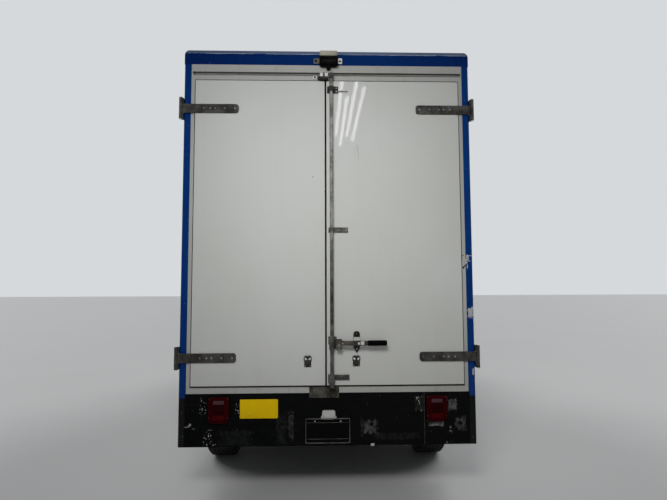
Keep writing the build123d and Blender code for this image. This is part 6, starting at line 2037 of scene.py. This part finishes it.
    @staticmethod
    def roof_lamps() -> None:
        """Five amber lamps along the front of the cab roof, and the aerial."""
        form = Form()
        for place in (-620, -150, 0, 150, 620):
            x, y, z = touch("cab_shell", (place, 1130, 3000), DOWNWARD)
            form.plate(about(x, 38), about(y, 28), (z - 4, z + 8), Z, 20, BLACK_PLASTIC, 3)
            form.plate(about(x, 31), about(y, 21), (z, z + 26), Z, 16, AMBER_LENS, 9)
        foot = touch("front_fenders", (800, 1830, 2000), DOWNWARD)
        base = ((-2, 0), (-2, 20), (6, 16), (16, 6), (16, 0))
        form.lathe(base, foot, (0.10, -0.25, 1.0), BLACK_PLASTIC, 20)
        form.tube([foot + Vector((1, -2, 10)), foot + Vector((55, -138, 560))], 2.2, STAINLESS, 8)
        form.piece("roof_lamps", "chassis", "trim_plastic")

    @staticmethod
    def flaps() -> None:
        """Rubber flaps behind the front wheels."""
        form = Form()
        form.block((730, 975), (1628, 1636), (230, 470), SEAL_BLACK, 2)
        form.studs([(x, 1628, 452) for x in (760, 850, 940)], REARWARD, 9, 3, BRIGHT_ZINC)
        form.mirror()
        form.piece("front_flaps", "chassis", "trim_plastic")


@dataclass
class SeatPad:
    """A padded block of a seat, stuffed by a cloth simulation and then channelled."""

    name: str
    x: Span
    y: Span
    z: Span
    lean: float = 0
    corner: float = 45
    cap: float = 16
    grooves: tuple[float, ...] = ()
    groove_depth: float = 8
    groove_half: float = 12
    edge: float = 28
    voxel: float = 0.006
    quick_voxel: float = 0.012
    pressure: float = 4.0
    moments: int = 20

    def shape(self) -> bpy.types.Object:
        """Rounded block, leant back about its lower edge, as a fine even mesh."""
        form = Form()
        form.plate(self.x, self.y, self.z, Y if self.lean else Z, self.corner, SEAT_CLOTH, self.edge)
        foot = Matrix.Translation(metres((0, self.y[0], self.z[0])))
        turn = foot @ Matrix.Rotation(math.radians(self.lean), 4, "X") @ foot.inverted()
        bmesh.ops.transform(form.mesh, matrix=turn, verts=form.mesh.verts[:])
        pad = form.piece(self.name, "chassis", "seat_cloth")
        remesh = pad.modifiers.new("even", "REMESH")
        remesh.mode = "VOXEL"
        remesh.voxel_size = self.voxel
        self.settle(pad)
        return pad

    @staticmethod
    def settle(pad: bpy.types.Object) -> None:
        """Takes what the modifiers show as the piece's mesh, and drops them."""
        shown = bpy.data.meshes.new_from_object(pad.evaluated_get(bpy.context.evaluated_depsgraph_get()))
        pad.modifiers.clear()
        pad.data = shown
        for polygon in shown.polygons:
            polygon.use_smooth = True

    def stuff(self, pad: bpy.types.Object) -> None:
        """Swells the pad by a pressed cloth, no point further than the cap."""
        rest = [vert.co.copy() for vert in pad.data.vertices]
        cloth = pad.modifiers.new("stuffing", "CLOTH")
        cloth.settings.use_pressure = True
        cloth.settings.uniform_pressure_force = self.pressure
        cloth.settings.effector_weights.gravity = 0.0
        cloth.point_cache.frame_start = 1
        cloth.point_cache.frame_end = self.moments
        for moment in range(1, self.moments + 1):
            bpy.context.scene.frame_set(moment)
        self.settle(pad)
        bpy.context.scene.frame_set(1)
        for vert, start in zip(pad.data.vertices, rest):
            step = vert.co - start
            if step.length > self.cap * MM:
                vert.co = start + step.normalized() * self.cap * MM

    def channel(self, pad: bpy.types.Object) -> None:
        """Presses sewn channels along the pad, at distances from its middle."""
        half, depth = self.groove_half * MM, self.groove_depth * MM
        for vert in pad.data.vertices:
            off = abs(vert.co.x - mid(self.x) * MM)
            near = min((abs(off - groove * MM) for groove in self.grooves), default=1.0)
            if near < half:
                vert.co -= vert.normal * depth * (1.0 - near / half) ** 2

    def build(self) -> None:
        """Makes the pad and its twin on the other seat."""
        pad = self.shape()
        self.stuff(pad)
        self.channel(pad)
        soft = pad.modifiers.new("soft", "SUBSURF")
        soft.levels = soft.render_levels = 1
        self.settle(pad)
        twin_data = pad.data.copy()
        twin_data.transform(Matrix.Translation((-sum(self.x) * MM, 0.0, 0.0)))
        twin = link(f"{self.name}_left", twin_data)
        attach(twin, "chassis")
        LOG.info("%s: %d faces", pad.name, len(pad.data.polygons))


@dataclass
class Interior:
    """Seats, instruments, controls and trim in the cab."""

    seat_x: float = 420
    # X, height and radius of the three dials
    gauges: Marks = ((-495, 1322, 52), (-345, 1322, 52), (-420, 1300, 26))
    gauge_face: float = 1520

    def build(self) -> None:
        """Makes the interior."""
        self.seat_frames()
        self.seat_pads()
        self.instruments()
        self.dash_trim()
        self.controls()
        self.headlining()

    def seat_frames(self) -> None:
        """Pedestals, pans, back shells, recliner covers and headrest posts."""
        left, right = about(self.seat_x, 260)
        form = Form()
        form.plate((left + 30, right - 30), (705, 1075), (700, 930), Z, 30, TRIM_PLASTIC, 6)
        form.plate((left + 5, right - 5), (640, 1180), (925, 972), Z, 50, TRIM_PLASTIC, 10)
        back = [(left + 15, y, z) for y, z in ((628, 985), (664, 985), (504, 1560), (468, 1560))]
        form.slab(back, (490, 0, 0), TRIM_PLASTIC, 12)
        for x in (left - 4, right - 20):
            form.plate((x, x + 24), (610, 800), (935, 1045), X, 40, TRIM_PLASTIC, 6)
        for x in about(self.seat_x, 55):
            form.tube([(x, 520, 1500), (x, 500, 1600)], 6, STAINLESS)
        handle = [(right - 20, 800, 985), (right + 4, 860, 1000), (right + 4, 940, 1020)]
        form.tube(handle, 9, BLACK_PLASTIC)
        form.mirror()
        form.piece("seat_frames", "chassis", "seat_cloth", ["seats"])

    def seat_pads(self) -> None:
        """Cushions, backs and headrests."""
        wide, narrow, head = (about(self.seat_x, half) for half in (245, 240, 115))
        SeatPad("seat_cushion", wide, (690, 1165), (985, 1078), grooves=(55, 160)).build()
        SeatPad("seat_back", narrow, (665, 735), (1070, 1540), lean=15.5, grooves=(50, 155)).build()
        SeatPad("headrest", head, (505, 560), (1600, 1705), lean=12, corner=35, cap=10).build()

    def instruments(self) -> None:
        """Binnacle with its dials behind the steering wheel."""
        face = self.gauge_face
        form = Form()
        form.plate((-615, -225), (face, face + 180), (1255, 1385), Y, 45, TRIM_PLASTIC, 12)
        for x, z, radius in self.gauges:
            bowl = [(0, 0), (0, radius), (10, radius), (10, radius * 0.90), (6, radius * 0.86), (6, 0)]
            form.lathe(bowl, (x, face + 4, z), REARWARD, GLOSS_BLACK, 32)
            for angle in range(-120, 121, 30):
                reach = Vector((math.sin(math.radians(angle)), 0, math.cos(math.radians(angle)))) * radius
                start = Vector((x, face - 3, z)) + reach * 0.62
                form.tube([start, start + reach * 0.18], 1.2, LAMP_WHITE, 4)
            needle = Vector((x, face - 5, z))
            form.tube([needle, needle + Vector((-0.56, 0, -0.36)) * radius], 1.5, AMBER_LENS, 4)
            form.studs([needle], REARWARD, radius * 0.12, 4, BLACK_PLASTIC, 12)
        form.ring((-605, -235), (face - 30, face + 6), (1267, 1379), Y, 10, TRIM_PLASTIC, 3, 36)
        form.piece("instruments", "chassis", "trim_plastic")

    @staticmethod
    def dash_trim() -> None:
        """Air vents, a blank radio, heater knobs and the glove box lid on the dashboard."""
        form = Form()
        for x in (-800, -95, 95, 800):
            face = touch("dashboard", (x, 1000, 1145), AHEAD).y
            form.ring(about(x, 70), (face - 6, face + 10), (1110, 1180), Y, 8, BLACK_PLASTIC, 2, 12)
            for index in range(5):
                z = 1124 + index * 10.5
                form.block(about(x, 62), (face - 3, face + 4), (z, z + 3), BLACK_PLASTIC)
        face = touch("dashboard", (0, 1000, 1050), AHEAD).y
        form.fit((
            ((-95, 95), (-6, 4), (1040, 1092), 6, GLOSS_BLACK, 2),
            ((320, 780), (-10, 6), (1020, 1165), 18, TRIM_PLASTIC, 4),
            ((515, 585), (4, 14), (1130, 1150), 6, BLACK_PLASTIC, 3),
        ), face)
        for x in (-78, 78):
            form.rod((x, face - 2, 1066), (x, face - 18, 1066), 11, BLACK_PLASTIC, 18, 2)
        form.piece("dash_trim", "chassis", "trim_plastic")

    @staticmethod
    def controls() -> None:
        """Pedals, floor lever with its boot, stalks and the handbrake."""
        form = Form()
        for x, half, top in ((-500, 45, 890), (-345, 26, 880)):
            form.tube([(x, 1760, 1080), (x, 1700, 930), (x, 1640, 850)], 9, CHASSIS_BLACK, 8)
            sole = [(x - half, y, top + up) for y, up in ((1610, -75), (1624, -85), (1660, -2), (1646, 6))]
            form.slab(sole, (2 * half, 0, 0), SEAL_BLACK, 4)
        boot = ((0, 0), (0, 75), (16, 70), (30, 50), (52, 34), (75, 16), (80, 0))
        form.lathe(boot, (0, 1300, 700), UPWARD, SEAL_BLACK, 24)
        form.tube([(0, 1300, 760), (0, 1285, 860), (0, 1240, 960)], 8, CHASSIS_BLACK)
        knob = ((0, 0), (0, 16), (20, 24), (45, 22), (56, 10), (58, 0))
        form.lathe(knob, (0, 1245, 945), (0, -0.3, 1), BLACK_PLASTIC, 24)
        for way in (-1, 1):
            stalk = [(-420 + way * 34, 1330, 1262), (-420 + way * 150, 1310, 1285)]
            form.tube(stalk, 7, BLACK_PLASTIC, 8)
        form.tube([(120, 800, 735), (120, 900, 790), (120, 1060, 850)], 10, CHASSIS_BLACK, 8)
        form.rod((120, 1020, 835), (120, 1130, 877), 16, SEAL_BLACK, 16, 4)
        form.piece("controls", "chassis", "trim_plastic")

    @staticmethod
    def headlining() -> None:
        """Roof lining, visors, cab lamp, belts and the floor mat."""
        form = Form()
        for sign in (-1, 1):
            visor, buckle, x = (sign * 140, sign * 660), (sign * 794, sign * 826), sign * 800
            form.plate(visor, (1000, 1160), (2016, 2034), Z, 30, PALE_TRIM, 6)
            belt = [(x, y, z) for y, z in ((500, 1860), (548, 1860), (578, 740), (530, 740))]
            form.slab(belt, (sign * 3, 0, 0), SEAL_BLACK)
            form.plate(buckle, (490, 560), (1840, 1900), X, 15, BLACK_PLASTIC, 4)
        # X, Y, Z, axis, corner, finish and rim radius
        for row in (
            ((-740, 740), (240, 1140), (2040, 2052), Z, 50, PALE_TRIM, 4),
            ((-60, 60), (620, 720), (2022, 2042), Z, 15, LAMP_WHITE, 6),
            ((-900, 900), (700, 1600), (699, 706), Z, 50, SEAL_BLACK, 2),
        ):
            form.plate(*row)
        form.piece("headlining", "chassis", "trim_plastic")


@dataclass
class Underbody:
    """Springs, clamps, dampers and pipes under the chassis."""

    spring_x: float = 395
    spring_half: float = 30
    eye_z: float = 489
    seat_z: float = 432
    leaf: float = 10
    leaf_halves: tuple[float, ...] = (600, 470, 320)
    axles: Span = (-1858, 2100)

    def build(self) -> None:
        """Makes the underbody's pieces."""
        self.springs()
        self.pipes()

    def leaf_outline(self, centre_y: float, half: float, drop: float) -> list[Point]:
        """Side outline of one leaf.

        Args:
            centre_y: Y of the axle.
            half: Half its length.
            drop: How far it lies under the main leaf.

        Returns:
            Its corners in order.
        """
        upper = []
        for step in range(-6, 7):
            reach = step / 6 * half
            rise = (self.eye_z - self.seat_z - 26) * (reach / self.leaf_halves[0]) ** 2
            upper.append((self.spring_x - self.spring_half, centre_y + reach, self.seat_z + 34 - drop + rise))
        return upper + [(x, y, z - self.leaf) for x, y, z in reversed(upper)]

    def springs(self) -> None:
        """Leaves with their eyes, clips, U-bolts and hangers, and the dampers."""
        form = Form()
        rail_z = box("frame_rails").z[0]
        for axle in self.axles:
            for index, half in enumerate(self.leaf_halves):
                outline = self.leaf_outline(axle, half, index * (self.leaf + 1))
                form.slab(outline, (2 * self.spring_half, 0, 0), CHASSIS_BLACK, 1.5)
            for end in (-1, 1):
                self.spring_end(form, axle, end, rail_z)
            left, right = about(self.spring_x, 37)
            bends = (
                (left, 345), (left, 470), (left + 10, 484), (right - 10, 484), (right, 470), (right, 345),
            )
            for y in about(axle, 45):
                form.tube([(x, y, z) for x, z in bends], 7, BRIGHT_ZINC, 8)
            form.block(about(self.spring_x, 50), about(axle, 65), (338, 350), CHASSIS_BLACK, 2)
            form.block(about(self.spring_x, 36), about(axle, 60), (470, 479), CHASSIS_BLACK, 2)
        for foot_y, head_y in ((-1900, -1660), (2130, 2300)):
            foot, head = Vector((330, foot_y, 400)), Vector((330, head_y, 625))
            middle = foot.lerp(head, 0.5)
            form.rod(foot, middle, 24, CHASSIS_BLACK, 18, 3)
            form.rod(middle, head, 31, CHASSIS_BLACK, 18, 3)
            for _, y, z in (foot, head):
                form.rod((302, y, z), (362, y, z), 14, SEAL_BLACK, 14, 2)
        form.mirror()
        form.piece("springs_and_dampers", "chassis", "chassis_black", ["leaf_springs"])

    def spring_end(self, form: Form, axle: float, end: int, rail_z: float) -> None:
        """Adds an eye with its pin and hanger, and a clip round the leaves.

        Args:
            form: The form that they join.
            axle: Y of the axle.
            end: 1 for the front end and -1 for the rear one.
            rail_z: Height of the rail's lower face.
        """
        x, y, z, clip = self.spring_x, axle + end * self.leaf_halves[0], self.eye_z - 6, axle + end * 300
        # Half length, radius, finish, sides and rim radius
        for half, *bar in ((34, 21, CHASSIS_BLACK, 18, 2), (42, 9, BRIGHT_ZINC, 8, 1)):
            form.rod((x - half, y, z), (x + half, y, z), *bar)
        for plate_x in (x - 41, x + 35):
            form.block((plate_x, plate_x + 6), about(y, 24), (z - 22, rail_z + 4), CHASSIS_BLACK, 2)
        form.block(about(x, 34), about(clip, 12), (425, 470), CHASSIS_BLACK, 3)

    @staticmethod
    def pipes() -> None:
        """Brake and fuel pipes along the left rail, with their clips, and the tank's straps."""
        form = Form()
        for z in (560, 580):
            line = [(-352, 1550, z), (-352, 600, z), (-352, -900, z), (-352, -1600, z - 20)]
            form.tube(line, 4.5, BRIGHT_ZINC, 8)
        for y in range(1350, -1371, -340):
            form.block((-361, -344), about(y, 8), (550, 590), BLACK_PLASTIC, 2)
        (left, right), (rear, front), (low, high) = box("fuel_tank")
        for y in (rear + 180, front - 180):
            form.ring((left - 4, right + 2), about(y, 18), (low - 4, high + 4), Y, 3.5, BRIGHT_ZINC)
        form.piece("pipes_and_straps", "chassis", "chassis_black")


@dataclass
class EngineBay:
    """What stands round the engine, seen with the bonnet up."""

    fan: Point = (0, 2560, 830)
    blades: int = 7
    blade_twist: float = 0.5

    def build(self) -> None:
        """Makes the bay's pieces."""
        form = Form()
        self.covers(form)
        self.hoses(form)
        self.cooling_fan(form)
        form.piece("engine_bay", "chassis", "engine_iron")

    @staticmethod
    def covers(form: Form) -> None:
        """Adds the engine's cover, the air cleaner and the battery with their trays."""
        # X, Y, Z, axis, corner, finish and rim radius
        for row in (
            ((-215, 215), (1960, 2380), (975, 1030), Z, 40, BLACK_PLASTIC, 12),
            ((-600, -370), (2240, 2480), (800, 960), Z, 30, BLACK_PLASTIC, 10),
            ((-605, -365), (2235, 2485), (868, 880), Z, 30, BLACK_PLASTIC, 3),
            ((375, 580), (2160, 2430), (690, 870), Z, 10, BLACK_PLASTIC, 4),
            ((380, 575), (2165, 2425), (866, 882), Z, 10, GLOSS_BLACK, 3),
        ):
            form.plate(*row)
        for x in range(-150, 151, 60):
            form.block(about(x, 8), (2000, 2300), (1026, 1036), BLACK_PLASTIC, 3)
        # X, Y, Z, finish and rim radius
        for row in (
            ((-560, -380), (2280, 2440), (660, 802), CHASSIS_BLACK, 4),
            ((366, 590), (2150, 2440), (664, 692), CHASSIS_BLACK, 3),
            ((-430, 430), (2600, 2680), (985, 1004), BLACK_PLASTIC, 4),
        ):
            form.block(*row)
        cap = ((0, 0), (0, 30), (22, 30), (26, 24), (26, 0))
        form.lathe(cap, (130, 2335, 1028), UPWARD, GLOSS_BLACK, 24)

    @staticmethod
    def hoses(form: Form) -> None:
        """Adds the intake and radiator hoses, and the battery's posts and leads."""
        # Middle line, radius and sides
        for line, radius, sides in (
            (((-400, 2300, 930), (-330, 2240, 965), (-270, 2180, 995), (-190, 2150, 1005)), 36, 16),
            (((-100, 2440, 930), (-160, 2520, 955), (-220, 2615, 955)), 21, 14),
            (((140, 2440, 700), (200, 2530, 720), (260, 2615, 740)), 21, 14),
        ):
            form.tube(line, radius, SEAL_BLACK, sides)
        for y, finish in ((2205, RED_TAPE), (2385, BLACK_PLASTIC)):
            form.rod((410, y, 878), (410, y, 896), 10, BRIGHT_ZINC, 12, 1)
            form.tube([(410, y, 894), (330, y - 20, 930), (270, y - 80, 900)], 7, finish, 8)

    def cooling_fan(self, form: Form) -> None:
        """Adds the fan in its shroud."""
        x, y, z = self.fan
        shroud = ((0, 150), (0, 158), (45, 162), (45, 154))
        form.lathe(shroud, self.fan, AHEAD, BLACK_PLASTIC, 40, closed=True)
        for index in range(self.blades):
            turn = Matrix.Rotation(index * 2 * math.pi / self.blades, 4, "Y")
            place = Matrix.Translation(metres(self.fan)) @ turn @ Matrix.Rotation(self.blade_twist, 4, "Z")
            form.block((-24, 24), (-3, 3), (30, 142), BLACK_PLASTIC, 2, place)
        form.rod((x, y - 85, z), (x, y + 20, z), 36, BLACK_PLASTIC, 24, 4)


def main() -> None:
    """Builds the studio, dresses the nodes and builds every assembly in order."""
    logging.basicConfig(level=logging.INFO, format="%(message)s", stream=sys.stdout)
    Studio().build()
    dress_nodes()
    for kind in (RearDoors, RearApron, CameraUnit, BoxBody, Cab, Interior, Underbody, EngineBay):
        LOG.info("%s", kind.__name__)
        kind().build()
    for end in ("front", "rear"):
        for side in Side:
            Wheel(end, side).build()


if __name__ == "__main__":
    main()
